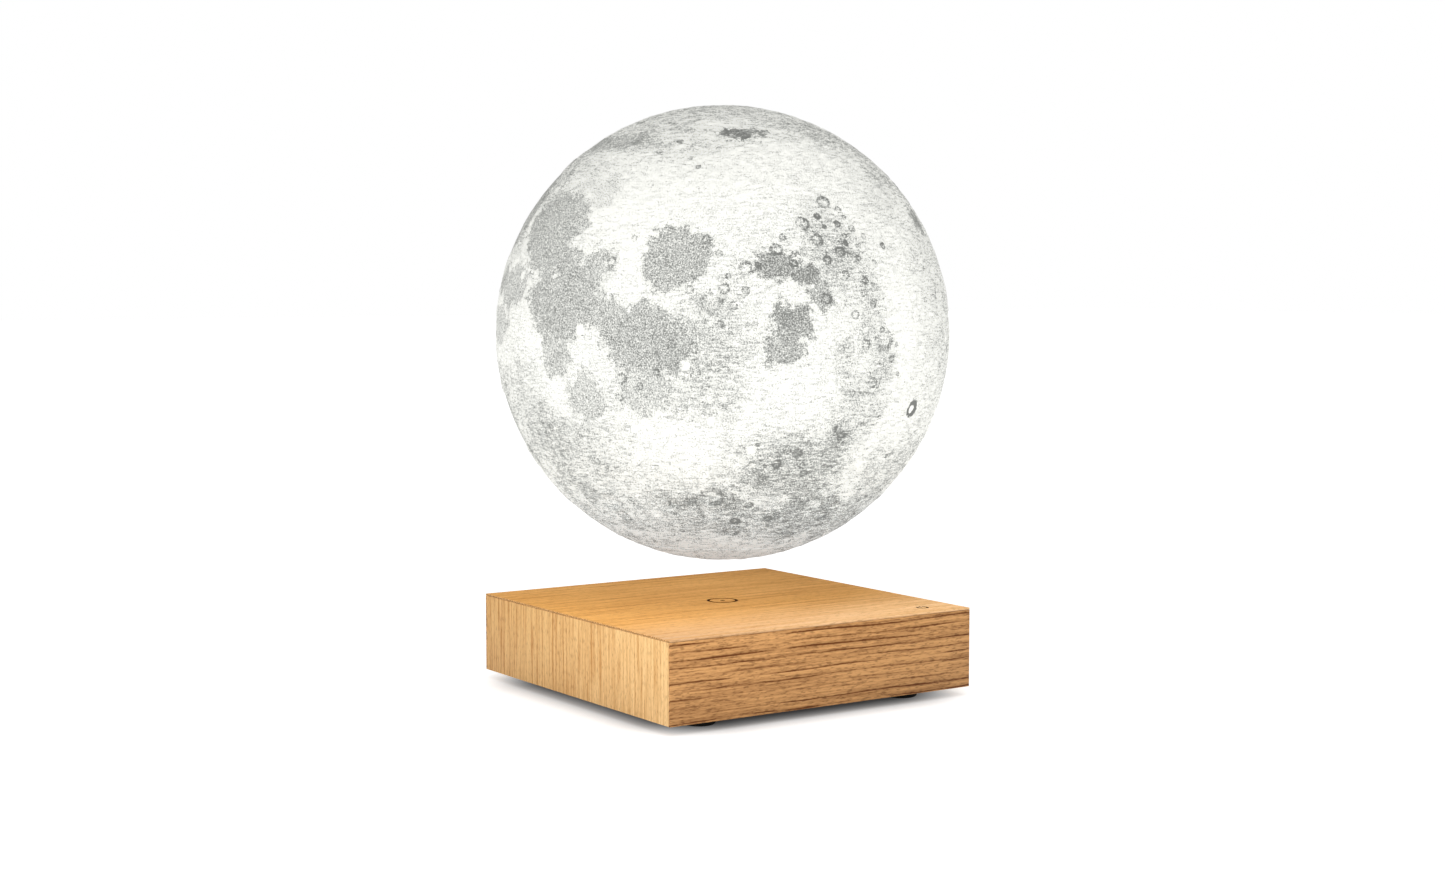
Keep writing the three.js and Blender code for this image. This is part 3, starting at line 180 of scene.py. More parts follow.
SURFACE_FACES_ACROSS = 120  # of a sixth of the globe
SMALLEST_MODELLED_CRATER = 1.3 * MM
CRATER_REACH = 1.7  # how far a crater is felt, in its own radii
RING_REACH = 1.28  # how far its rim is drawn, in its own radii
HALF_FACE = 0.6 * MM

# The Mix node's sockets for colours
MIX_FACTOR, MIX_A, MIX_B, MIX_COLOUR = 0, 6, 7, 2

# Pieces that keep their CAD shapes: how their names start, the material and process that they are made by,
# its colour, its roughness, its texture's size and depth in millimetres, and 1 for a metal. A later row wins.
FINISHES = (
    (("casing",), "milled_fibreboard", "#A27C4C", 0.9, 0.5, 0.08, 0),
    (("main_board", "hall_board"), "solder_masked_glass_board", "#1E5A38", 0.4, 1.2, 0.02, 0),
    (("lamp_board",), "white_masked_glass_board", "#E6E6E0", 0.4, 1.2, 0.02, 0),
    (("drive_chip", "control_chip", "hall_sensor"), "moulded_epoxy", "#1A1B1D", 0.6, 0.2, 0.02, 0),
    (("capacitor", "store_capacitor"), "drawn_aluminium", "#B9BCC0", 0.35, 0.5, 0.01, 1),
    (("choke", "ring_magnet"), "sintered_ferrite", "#2B2C2F", 0.8, 0.4, 0.05, 0),
    (("float_magnet",), "nickel_plated_magnet", "#C9C9C4", 0.2, 0.8, 0.005, 1),
    (("touch_spring", "coil_core", "tray_screw"), "drawn_steel", "#90949A", 0.38, 0.3, 0.01, 1),
    (("coil_tray",), "moulded_black_tray", "#202022", 0.55, 0.4, 0.03, 0),
    (("coil_winding", "power_coil", "receiver"), "enamelled_copper_wire", "#B4612B", 0.35, 0.35, 0.04, 1),
    (("coil_bobbin", "power_coil_plate", "magnet"), "moulded_white_nylon", "#E4E3DC", 0.5, 0.4, 0.02, 0),
    (("led",), "cast_silicone_phosphor", "#F3E7B4", 0.35, 0.3, 0.01, 0),
)


def linear(hex_colour):
    """An sRGB hex colour as the linear red, green and blue that shaders and settings hold."""
    parts = (int(hex_colour[i : i + 2], 16) / 255 for i in (1, 3, 5))
    return tuple(c / 12.92 if c <= 0.04045 else ((c + 0.055) / 1.055) ** 2.4 for c in parts)


def setting(kind=FloatProperty, **limits):
    """A kind of setting, which is then made from its name, its description and its default."""

    def make(name, description, default):
        return kind(name=name, description=description, default=default, **limits)

    return make


length_setting = setting(min=0, unit="LENGTH")
share_setting = setting(min=0, max=1, subtype="FACTOR")
power_setting = setting(min=0, unit="POWER")
angle_setting = setting(subtype="ANGLE")
lens_setting = setting(min=1, unit="CAMERA")
count_setting = setting(IntProperty, min=0)


def colour_setting(name, description, hex_colour):
    return setting(FloatVectorProperty, min=0, max=1, subtype="COLOR")(name, description, linear(hex_colour))


class MoonLampMoon(bpy.types.PropertyGroup):
    """The printed moon."""

    sea_depth: length_setting("Sea depth", "How far the seas lie under the highlands", 0.25 * MM)
    roughness_height: length_setting("Highland relief", "Height of the uneven highlands", 0.22 * MM)
    crater_slope: share_setting("Crater depth", "A crater's depth as a share of its radius", 0.13)
    crater_count: count_setting("Craters", "How many small craters are spread about", 320)
    seed: count_setting("Seed", "Another number spreads the craters otherwise", 7)
    bright: colour_setting("Highlands", "The brightest ground", "#EDEDE7")
    grey: colour_setting("Seas", "The middle grey of the seas", "#B9BAB6")
    dark: colour_setting("Dark floors", "The darkest crater floors", "#6F706D")
    glow: share_setting("Glow", "How strongly the light inside shows through the print", 0.56)


class MoonLampCase(bpy.types.PropertyGroup):
    """The veneered case."""

    edge: length_setting("Edge", "How far the veneer's edges are eased by sanding", 0.14 * MM)
    groove_width: length_setting("Mark width", "Width of the lines burned into the top", 1.0 * MM)
    groove_depth: length_setting("Mark depth", "Depth of the lines burned into the top", 0.16 * MM)
    ring_radius: length_setting("Ring mark", "Radius of the mark in the middle of the top", 4.6 * MM)
    touch_radius: length_setting("Touch mark", "Radius of the touch key's mark", 2.05 * MM)
    top_light: colour_setting("Top, light", "Light wood of the top", "#E4AA5E")
    top_dark: colour_setting("Top, dark", "Dark wood of the top", "#AC6E24")
    # The top's two front colours are painted light and sheen: a paler strip along the front, lit more on the
    # right than on the left
    top_lit_left: colour_setting("Top, front left", "Pale wood at the front of the top, on the left", "#C8A078")
    top_lit_right: colour_setting("Top, front right", "Pale wood at the front of the top, on the right", "#FCCE98")
    front_light: colour_setting("Front, light", "Light wood of the front and back", "#D49E64")
    front_dark: colour_setting("Front, dark", "Dark wood of the front and back", "#68380F")
    side_light: colour_setting("Sides, light", "Light wood of the two sides", "#DDB070")
    # The sides' front colour is painted light: the sides grow paler towards the front
    side_lit_front: colour_setting("Sides, front edge", "Pale wood at the front of the sides", "#EBC288")
    side_dark: colour_setting("Sides, dark", "Dark wood of the two sides", "#B57A3E")


class MoonLampUnderside(bpy.types.PropertyGroup):
    """The cover and the feet."""

    plastic: colour_setting("Plastic", "Moulded cover", "#1B1B1D")
    rubber: colour_setting("Rubber", "The feet", "#121212")
    foot_round: length_setting("Foot rounding", "Radius of a foot's lower edge", 0.9 * MM)
    cover_corner: length_setting("Cover corner", "Corner radius of the bottom cover", 3 * MM)
    cover_edge: length_setting("Cover edge", "Bevel round the bottom cover", 0.3 * MM)


class MoonLampCamera(bpy.types.PropertyGroup):
    """The camera."""

    distance: length_setting("Distance", "From the lamp's axis to the camera", 0.69668)
    aim_height: length_setting("Aim height", "The height that the camera looks at", 0.08106)
    azimuth: angle_setting("Azimuth", "Where the camera stands round the lamp", math.radians(-34.036))
    elevation: angle_setting("Elevation", "How far the camera looks down", math.radians(4.259))
    lens: lens_setting("Lens", "Focal length on a 36 mm frame", 53.843)


class MoonLampStage(bpy.types.PropertyGroup):
    """The lights."""

    room_light: share_setting("Room light", "The white studio's light, where 1 is what it shows", 0.18)
    key_power: power_setting("Key light", "Power of the soft key light", 1.0)
    top_power: power_setting("Top light", "Power of the overhead light", 9.5)
    case_power: power_setting("Case light", "Power of the case's own light", 19)


SETTINGS = {
    "camera": MoonLampCamera,
    "moon": MoonLampMoon,
    "case": MoonLampCase,
    "underside": MoonLampUnderside,
    "stage": MoonLampStage,
}


def settings_of(context, group):
    return getattr(context.scene, "moon_lamp_" + group)


# Meshes


def new_object(name, mesh):
    piece = bpy.data.objects.new(name, mesh)
    bpy.context.scene.collection.objects.link(piece)
    return piece


def smoothed(mesh):
    """Makes the faces smooth and the edges between steep ones sharp."""
    for polygon in mesh.polygons:
        polygon.use_smooth = True
    mesh.set_sharp_from_angle(angle=SHARP_ANGLE)
    return mesh


def mesh_from(name, bm, materials=()):
    """Closes a bmesh's work: faces outwards, as a mesh with smooth faces and sharp edges."""
    open_edges = sum(1 for edge in bm.edges if not edge.is_manifold)
    if open_edges:
        raise RuntimeError(f"{name} has {open_edges} open edges")
    bmesh.ops.recalc_face_normals(bm, faces=bm.faces)
    mesh = bpy.data.meshes.new(name)
    bm.to_mesh(mesh)
    bm.free()
    for material in materials:
        mesh.materials.append(material)
    return smoothed(mesh)


def place_piece(name, mesh, body, slot, *nodes):
    """Adds a finished piece that rides on a body and stands for these CAD nodes."""
    piece = new_object(name, mesh)
    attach(piece, body)
    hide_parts(*nodes)


def block(low, high):
    """A bmesh box between two corners."""
    bm = bmesh.new()
    bmesh.ops.create_cube(bm, size=1)
    bmesh.ops.scale(bm, vec=Vector(high) - Vector(low), verts=bm.verts)
    bmesh.ops.translate(bm, vec=(Vector(low) + Vector(high)) / 2, verts=bm.verts)
    return bm


def bevel(bm, edges, width, segments):
    bmesh.ops.bevel(
        bm, geom=edges, offset=width, offset_type="OFFSET", affect="EDGES",
        segments=segments, profile=0.5, material=-1, clamp_overlap=True,
    )


def upright_edges(bm):
    return [e for e in bm.edges if abs(e.verts[0].co.z - e.verts[1].co.z) > 0.9 * e.calc_length()]


def turned(profile, steps, middle=(0, 0, 0)):
    """A bmesh turned about the upright axis through middle. The profile's points are (radius, height)."""
    bm = bmesh.new()
    points = [bm.verts.new((radius, 0, height)) for radius, height in profile]
    edges = [bm.edges.new(pair) for pair in zip(points, points[1:])]
    bmesh.ops.spin(
        bm, geom=points + edges, cent=(0, 0, 0), axis=(0, 0, 1), angle=math.tau, steps=steps,
        use_merge=True, use_normal_flip=False, use_duplicate=False,
    )
    bmesh.ops.remove_doubles(bm, verts=bm.verts, dist=WELD)
    bmesh.ops.translate(bm, vec=middle, verts=bm.verts)
    return bm


def pipe(radius, low, high, steps, middle=(0, 0, 0)):
    """A bmesh cylinder from one height to another."""
    return turned([(0, low), (radius, low), (radius, high), (0, high)], steps, middle)


def laid_down(bm):
    """Turns an upright bmesh to lie along Y, on the power socket's axis."""
    bmesh.ops.rotate(bm, verts=bm.verts, cent=(0, 0, 0), matrix=Matrix.Rotation(math.radians(-90), 3, "X"))
    bmesh.ops.translate(bm, verts=bm.verts, vec=(0, 0, JACK_AXIS))
    return bm


def round_node(name):
    """An upright round node's middle on the floor, its radius, and its lowest and highest point."""
    low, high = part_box(name)
    middle = (low + high) / 2
    return Vector((middle.x, middle.y, 0)), (high.x - low.x) / 2, low.z, high.z


def carved(name, bm, cutters, materials, joined=(), cut_material=0):
    """A mesh with bmesh solids joined to it and others cut out of it. The cuts show one of its materials."""
    piece = new_object(name, mesh_from(name, bm, materials))
    tools = []
    for solids, operation, number in ((joined, "UNION", 0), (cutters, "DIFFERENCE", cut_material)):
        for solid in solids:
            tools.append(new_object(name + "_tool", mesh_from(name + "_tool", solid, [materials[number]])))
            modifier = piece.modifiers.new("carve", "BOOLEAN")
            modifier.operation = operation
            modifier.solver = "EXACT"
            modifier.material_mode = "TRANSFER"
            modifier.object = tools[-1]
    bpy.context.view_layer.update()
    graph = bpy.context.evaluated_depsgraph_get()
    mesh = bpy.data.meshes.new_from_object(piece.evaluated_get(graph), depsgraph=graph)
    for gone in [piece, *tools]:
        bpy.data.objects.remove(gone)
    mesh.name = name
    return smoothed(mesh)


# Materials


def add_node(tree, kind, inputs=(), **settings):
    """Adds a shader node. An input's value is a number, a colour or a Shade."""
    node = tree.nodes.new("ShaderNode" + kind)
    for name, value in settings.items():
        setattr(node, name, value)
    for name, value in dict(inputs).items():
        if isinstance(value, Shade):
            tree.links.new(value.socket, node.inputs[name])
        else:
            node.inputs[name].default_value = value
    return node


def grey(value):
    return (value, value, value)


def opaque(colour):
    """A colour with full alpha. A Shade stays as it is."""
    return colour if isinstance(colour, Shade) else (*colour, 1)


class Shade:
    """A value, a colour or a place at each point of a surface: the output of a shader node.

    Every step of reckoning with it adds a node and gives what comes out of it.
    """

    def __init__(self, tree, socket):
        self.tree = tree
        self.socket = socket

    def into(self, kind, inputs, output=0, **settings):
        return Shade(self.tree, add_node(self.tree, kind, inputs, **settings).outputs[output])

    def maths(self, operation, *others, clamp=False):
        return self.into("Math", enumerate((self, *others)), operation=operation, use_clamp=clamp)

    def __add__(self, other):
        return self.maths("ADD", other)

    def __mul__(self, other):
        return self.maths("MULTIPLY", other)

    def centred(self, reach):
        """Noise round one half, as noise round nothing with this reach."""
        return self.maths("MULTIPLY_ADD", reach, -reach / 2)

    def vector_maths(self, operation, *others, output="Vector"):
        return self.into("VectorMath", enumerate((self, *others)), output, operation=operation)

    def length(self):
        return self.vector_maths("LENGTH", output="Value")

    def axis(self, letter):
        return self.into("SeparateXYZ", {"Vector": self}, letter)

    def clouds(self, size, detail=2.0, roughness=0.5, output="Fac"):
        """Soft noise over a place, in spots of about this size."""
        values = {"Vector": self, "Scale": 1 / size, "Detail": detail, "Roughness": roughness}
        return self.into("TexNoise", values, output)

    def drawn_out(self, x, y=1.0):
        """Places on which a pattern is drawn out along an axis whose scale is less than 1."""
        return self.into("Mapping", {"Vector": self, "Scale": (x, y, 1.0)})

    def between(self, low=0.0, high=1.0, to_low=0.0, to_high=1.0, smooth=False):
        """Maps what lies from low to high to what lies from to_low to to_high."""
        values = {"Value": self, "From Min": low, "From Max": high, "To Min": to_low, "To Max": to_high}
        return self.into("MapRange", values, interpolation_type="SMOOTHSTEP" if smooth else "LINEAR")

    def ramp(self, *stops):
        """Colours along a value, as (place, colour). A number stands for a grey."""
        node = add_node(self.tree, "ValToRGB", {"Fac": self})
        elements = node.color_ramp.elements
        while len(elements) < len(stops):
            elements.new(0.5)
        for element, (place, colour) in zip(elements, stops):
            element.position = place
            element.color = opaque(grey(colour) if isinstance(colour, (int, float)) else colour)
        return Shade(self.tree, node.outputs["Color"])

    def mixed(self, first, second):
        """A mix of two colours, in which this is the second's share."""
        values = {MIX_FACTOR: self, MIX_A: opaque(first), MIX_B: opaque(second)}
        return self.into("Mix", values, MIX_COLOUR, data_type="RGBA")

    def bumped(self, strength, depth):
        return self.into("Bump", {"Height": self, "Strength": strength, "Distance": depth})


def new_material(name, **values):
    """A material with only a Principled shader, whose plain values are set on its own sockets.

    Gives the material, its nodes and the place on the object.
    """
    material = bpy.data.materials.new(name)
    material.use_nodes = True
    tree = material.node_tree
    for socket, value in values.items():
        tree.nodes["Principled BSDF"].inputs[socket.replace("_", " ")].default_value = value
    return material, tree, Shade(tree, add_node(tree, "TexCoord").outputs["Object"])


def dress(material, **shades):
    """Links shades to the Principled shader's sockets of these names, and gives the finished material."""
    tree = material.node_tree
    for socket, shade in shades.items():
        tree.links.new(shade.socket, tree.nodes["Principled BSDF"].inputs[socket.replace("_", " ")])
    return material


def attribute(tree, name, output="Fac"):
    return Shade(tree, add_node(tree, "Attribute", attribute_name=name).outputs[output])


def moon_print(settings):
    """PLA, printed in fine layers in shades of grey and lit from inside.

    The eye sees a matt, bright, grainy map, with no gloss, that glows a little.
    """
    material, tree, place = new_material(
        "printed_pla_moon", Roughness=0.75, IOR=1.45, Specular_IOR_Level=0.2, Emission_Strength=settings.glow
    )
    material.cycles.emission_sampling = "NONE"  # Faster, and the glow is large enough to be found without it
    # The shore is ragged down to a millimetre
    ragged = place.clouds(4 * MM, 5.0, 0.68)
    patches = place.clouds(1.7 * MM, 3.0, 0.65)
    shore = attribute(tree, "shore") + (ragged.centred(6.5) + patches.centred(6.0))
    sea = shore.between(-0.9, 0.9, smooth=True)
    full_grey = (ragged * 0.5 + 0.84) * attribute(tree, "sea_grey")
    # Mottled highlands, in patches of a millimetre or two
    hazy = attribute(tree, "haze") * patches.between(0.34, 0.66, 0.83, 1.17)
    land = sea.between(to_low=1.0, to_high=0.35)
    ground = sea * full_grey + hazy * land
    # Craters: each face holds its own place in a crater, counted in the crater's radii, and the floor's tone
    spot = attribute(tree, "crater_place", "Vector")
    flat = spot.vector_maths("MULTIPLY", (1, 1, 0))
    half_radius = (flat.length() + place.clouds(1.1 * MM).centred(0.7)) * 0.5
    rim = half_radius.ramp((0.24, 0), (0.38, 0.75), (0.47, 1), (0.55, 0.25), (0.64, 0))
    floor = half_radius.ramp((0.0, 1), (0.36, 0.95), (0.5, 0)) * spot.axis("Z")
    # A rim is darker on the side that the light of the map left in shade
    lean = flat.vector_maths("DOT_PRODUCT", (0.75, 0.45, 0), output="Value").between(-0.8, 0.8, 0.5)
    pitted = ground + (rim * lean * (attribute(tree, "crater_rim") * 1.4) + floor)
    # Craterlets too small for the mesh: rings round scattered points
    bent = place.clouds(1.6 * MM, output="Color").vector_maths("MULTIPLY_ADD", grey(1.1 * MM), place)
    strong = hazy * 1.1 + 0.06
    for cell in (2.1 * MM, 3.9 * MM):
        cells = add_node(tree, "TexVoronoi", {"Vector": bent, "Scale": 1 / cell}).outputs
        distance, chance = Shade(tree, cells["Distance"]), Shade(tree, cells["Color"]).axis("X")
        ring = distance.ramp((0.0, 0.25), (0.19, 0.1), (0.27, 1), (0.31, 0.8), (0.37, 0))
        picked = chance.between(0.5, to_high=0.6)
        pitted = ring * (strong * picked) + pitted
    # The print's grain is finer than the render, so it is drawn a third of a millimetre wide
    grains = place.clouds(0.38 * MM, 1.0, 0.6).centred(1.9)
    # Layers lie flat, so the grain of the land has long streaks too
    streaks = place.drawn_out(0.2, 0.2).clouds(0.6 * MM, 2.0, 0.65).centred(1.3)
    strength = (pitted * 0.7 + 0.85).maths("MINIMUM", 1.25)
    darkness = (grains + streaks * land).maths("MULTIPLY_ADD", strength, pitted, clamp=True)
    colour = darkness.ramp((0.0, settings.bright), (0.5, settings.grey), (1.0, settings.dark))
    # Painted light: the glow is made colder towards the moon's underside, against the warm light that the
    # wood below throws on it
    low_share = place.axis("Z").between(MOON_MIDDLE.z - 0.55 * MOON_RADIUS, SHELL_LOW.z, smooth=True)
    lit = colour.vector_maths("MULTIPLY", low_share.mixed((1, 1, 1), (0.9, 1.0, 1.12)))
    return dress(
        material, Base_Color=colour, Emission_Color=lit, Normal=(darkness * -1.0).bumped(0.35, 0.12 * MM)
    )


def oak_veneer(
    name, light, dark, *, ring_gap, ring_strength, fibre_strength, grit_strength, broad_strength, sway,
    upright=False, shift=(0, 0, 0), near=None, lit_right=None, lit_reach=0,
):
    """Rift-cut oak veneer, sanded and oiled.

    The eye sees growth rings, dark on one side and fading on the other, short pores, and a satin sheen. Given
    a reach, painted light and sheen make it paler towards the front, from one colour on the left to another
    on the right.
    """
    material, _, place = new_material(name, IOR=1.45, Specular_IOR_Level=0.28)
    turn = (0, math.radians(90), 0) if upright else (0, 0, 0)
    along = place.into("Mapping", {"Vector": place, "Rotation": turn, "Location": shift})
    # The rings waver over a few centimetres, and a little over a few millimetres
    wander = along.drawn_out(0.3).clouds(16 * MM, 3.0)
    phase = (wander * sway + (along.axis("Y") + along.axis("Z"))) * (1 / ring_gap)
    late_wood = phase.maths("FRACT").ramp(
        (0.0, 1.0), (0.09, 0.7), (0.2, 0.22), (0.6, 0.04), (0.93, 0.1), (1.0, 1.0)
    )
    luck = phase.into("TexWhiteNoise", {"W": phase.maths("FLOOR")}, "Value", noise_dimensions="1D")
    # They break off after a few centimetres
    broken = along.drawn_out(0.09).clouds(2.2 * MM).between(0.38, 0.64, 0.1)
    rings = late_wood * luck.between(to_low=0.35) * broken
    # Fibres, drawn half a millimetre wide, in bundles of a millimetre or two
    fibres = along.drawn_out(0.03).clouds(1.1 * MM, 2.0, 0.9)
    # Pores: short dark dashes, crowded along the rings
    holes = along.drawn_out(0.22).clouds(0.42 * MM, 1.0)
    pores = (rings * 0.12 + holes).between(0.56, 0.68, smooth=True)
    # Broad, slow changes of tone
    broad = along.drawn_out(0.2).clouds(12 * MM, 1.0).centred(broad_strength)
    level = 0.25 - (fibre_strength + grit_strength) / 2
    fine = fibres * fibre_strength + (holes * grit_strength + level)
    tone = (rings * ring_strength + fine).maths("ADD", broad, clamp=True)
    wood = tone.mixed(light, dark)
    if lit_reach:
        # Painted light and sheen: the sheet grows paler towards the front, and across it from the left's
        # colour to the right's
        x, front = place.axis("X"), TOP_LOW.y
        streaky = fibres * (16 * MM) + (x * -0.1 + place.axis("Y"))
        lit_share = streaky.between(front + 8 * MM, front + lit_reach, 1.0, 0.0, smooth=True)
        lit_colour = x.between(TOP_LOW.x, TOP_HIGH.x).mixed(near, lit_right)
        middle_tone = [(a + b) / 2 for a, b in zip(light, dark)]
        wood = lit_share.mixed(wood, tone.mixed(lit_colour, middle_tone))
    colour = (pores * 0.3).mixed(wood, [0.5 * part for part in dark])
    bump = (pores * -1.0 + fibres).bumped(0.4, 0.05 * MM)
    return dress(material, Base_Color=colour, Roughness=tone.between(to_low=0.50, to_high=0.64), Normal=bump)


def end_grain():
    """The cut ends of oak veneer: darker than its face, with open pores and the glue under it."""
    material, _, place = new_material("oak_end_grain", Roughness=0.8, Specular_IOR_Level=0.15)
    pores = place.clouds(0.5 * MM)
    return dress(material, Base_Color=pores.ramp((0.36, linear("#8A5C33")), (0.62, linear("#DDAE74"))))


def burned_wood():
    """Oak charred by a laser: matt and dark brown, with a little ash-brown grain."""
    material, _, place = new_material("laser_burned_oak", Roughness=0.9, Specular_IOR_Level=0.1)
    char = place.clouds(0.4 * MM)
    return dress(material, Base_Color=char.ramp((0.3, linear("#2A1405")), (0.7, linear("#4A2A0C"))))


def moulded(name, colour, roughness, texture, depth, **values):
    """A moulded, cast, drawn or sintered surface: one colour that varies a little, with a fine even texture.

    The texture's size and depth are in millimetres.
    """
    material, _, place = new_material(name, **values)
    blotches = place.clouds(9 * MM, 3.0)
    colours = blotches.mixed(colour, [0.75 * part for part in colour])
    rough = blotches.between(to_low=roughness - 0.08, to_high=roughness + 0.08)
    bump = place.clouds(texture * MM).bumped(0.5, depth * MM)
    return dress(material, Base_Color=colours, Roughness=rough, Normal=bump)


def white_table():
    """White opal glass over a light: plain white, except for a contact shadow painted round the case as a
    dimmer glow.
    """
    material, _, place = new_material(
        "white_light_table", Base_Color=(0.8, 0.8, 0.8, 1), Roughness=0.9, Specular_IOR_Level=0.0,
        Emission_Color=(1, 1, 1, 1),
    )
    # The painted shadow is a blurred square with round corners: the distance from a smaller square inside it
    beyond = place.vector_maths("ABSOLUTE").vector_maths("SUBTRACT", grey(CORE_HIGH.x - 24 * MM))
    distance = beyond.vector_maths("MAXIMUM", grey(0)).length()
    shadow = distance.between(13 * MM, 40 * MM, 0.03, 0.84, smooth=True)
    return dress(material, Emission_Strength=shadow + place.length().between(0.2, 0.9, to_high=0.45))


# The moon's surface


def place_on_moon(longitude, latitude):
    """Towards a place on the Moon, then east and north there, in the Moon's own axes."""
    lon, lat = math.radians(longitude), math.radians(latitude)
    out = np.array((math.cos(lat) * math.cos(lon), math.cos(lat) * math.sin(lon), math.sin(lat)))
    east = np.array((-math.sin(lon), math.cos(lon), 0))
    return out, east, np.cross(out, east)


def ellipse_distance(points, longitude, latitude, wide, high, tilt):
    """How far each point is from the middle of an ellipse on the globe: 1 is its edge."""
    out, east, north = place_on_moon(longitude, latitude)
    x, y = points @ east, points @ north
    flat = np.maximum(np.hypot(x, y), 1e-9)
    angle = np.degrees(np.arctan2(flat, points @ out)) / flat
    lean = math.radians(tilt)
    run = (x * math.cos(lean) + y * math.sin(lean)) * angle
    rise = (y * math.cos(lean) - x * math.sin(lean)) * angle
    return np.hypot(run / wide, rise / high)


def smooth_step(low, high, values):
    t = np.clip((values - low) / (high - low), 0, 1)
    return t * t * (3 - 2 * t)


def read_map(points):
    """Reads the moon's map at points given as directions in its own axes.

    Returns how far inside a sea's shore each is, in degrees, that sea's grey, and the haze over the land.
    """
    warp = np.array([noise.fractal(Vector(p) * 9, 0.75, 2.1, 5) for p in points])
    shore = np.full(len(points), -9.0)
    total = np.full(len(points), 1e-9)
    weighted = np.zeros(len(points))
    for longitude, latitude, wide, high, tilt, tone in SEAS:
        size = min(wide, high)
        inside = (1 - ellipse_distance(points, longitude, latitude, wide, high, tilt)) * size
        inside += 1.9 * min(size / 6, 1) * warp
        shore = np.maximum(shore, inside)
        weight = np.exp(np.clip(inside, -8, 8) * 1.5)
        total += weight
        weighted += weight * tone
    haze = np.full(len(points), 0.14)
    clean = np.ones(len(points))
    for longitude, latitude, wide, high, tilt, amount in HAZES:
        near = ellipse_distance(points, longitude, latitude, wide, high, tilt) + 0.35 * warp
        share = smooth_step(1.5, 0.45, near) * abs(amount)
        if amount > 0:
            haze = haze + share * (1 - haze)
        else:
            clean *= 1 - share
    return shore, weighted / total, haze * clean


def spread_craters(settings):
    """Every crater as (middle, east, north, radius in metres, floor tone, rim tone).

    The scattered ones come first, and the largest first of each kind: later ones lie over earlier ones.
    """
    known = []
    for longitude, latitude, degrees, floor, rim in CRATERS:
        known.append((*place_on_moon(longitude, latitude), MOON_RADIUS * math.radians(degrees), floor, rim))
    spread = []
    dice = random.Random(settings.seed)
    places = []
    for _ in range(settings.crater_count):
        latitude = math.degrees(math.asin(dice.uniform(-1, 1)))
        radius = min(1.1 * MM * (1 - dice.random()) ** -0.5, 3.6 * MM)
        places.append((dice.uniform(-180, 180), latitude, radius, dice.random(), dice.random()))
    middles = np.array([place_on_moon(longitude, latitude)[0] for longitude, latitude, *_ in places])
    shores, _, hazes = read_map(middles)
    for (longitude, latitude, radius, luck, shade), shore, haze in zip(places, shores, hazes):
        if shore > -1 and luck > 0.2:
            continue
        visible = 0.12 + 1.1 * haze
        floor = visible * (0.4 * shade**3 - 0.10)
        spread.append((*place_on_moon(longitude, latitude), radius, floor, visible * (0.15 + 0.35 * luck)))
    return [crater for found in (spread, known) for crater in sorted(found, key=lambda crater: -crater[3])]


def crater_height(away):
    """A crater's height at a distance of that many radii, in depths: a bowl, a raised rim and a skirt."""
    bowl = -1.0 + 1.28 * np.clip(away, 0, 1) ** 2.2
    skirt = 0.28 * (1 - smooth_step(1.0, CRATER_REACH, away))
    return np.where(away < 1, bowl, skirt)


def read_all(items, name, per_item=1, kind=np.int32):
    """One or more values of every vertex, corner or face, as one row."""
    values = np.empty(len(items) * per_item, dtype=kind)
    items.foreach_get(name, values)
    return values


def write_attribute(mesh, name, domain, values):
    mesh.attributes.new(name, "FLOAT", domain).data.foreach_set("value", values.astype(np.float32))


def search_tree(points):
    tree = kdtree.KDTree(len(points))
    for number, point in enumerate(points):
        tree.insert(point, number)
    tree.balance()
    return tree


def print_surface(mesh, settings, craters):
    """Raises the moon's relief on a smooth shell and writes the map onto it."""
    lean = Matrix.Rotation(math.radians(MOON_LEAN), 3, "X")
    turn = np.array(lean @ Matrix.Rotation(math.radians(MOON_TURN), 3, "Z"))
    local = read_all(mesh.vertices, "co", 3, np.float64).reshape(-1, 3) - np.array(MOON_MIDDLE)
    distance = np.linalg.norm(local, axis=1)
    points = (local / distance[:, None]) @ turn
    outside = distance > MOON_RADIUS - 0.05 * MM
    shore, sea_grey, haze = read_map(points)

    tree = search_tree(points)
    rough = np.array([noise.fractal(Vector(p) * 14, 0.6, 2.2, 5) for p in points])
    height = settings.roughness_height * rough * smooth_step(1.5, -1.5, shore)
    height -= settings.sea_depth * smooth_step(-1.5, 1.5, shore)
    for middle, _, _, radius, _, _ in craters:
        if radius < SMALLEST_MODELLED_CRATER:
            continue
        near = [number for _, number, _ in tree.find_range(middle, CRATER_REACH * radius / MOON_RADIUS)]
        away = np.linalg.norm(points[near] - middle, axis=1) * MOON_RADIUS / radius
        height[near] += settings.crater_slope * radius * crater_height(away)
    # It fades out towards the seam between the shell and the lid
    from_axis = np.hypot(local[:, 0], local[:, 1])
    seam = np.where(local[:, 2] < 0, np.abs(from_axis - MOUTH_RADIUS), 1.0)
    height *= smooth_step(0.3 * MM, 1.6 * MM, seam)
    moved = local * (1 + np.where(outside, height, 0) / distance)[:, None] + np.array(MOON_MIDDLE)
    mesh.vertices.foreach_set("co", moved.ravel())

    for name, values in (("shore", shore), ("sea_grey", sea_grey), ("haze", haze)):
        write_attribute(mesh, name, "POINT", values)
    write_craters(mesh, points, craters)
    mesh.update()


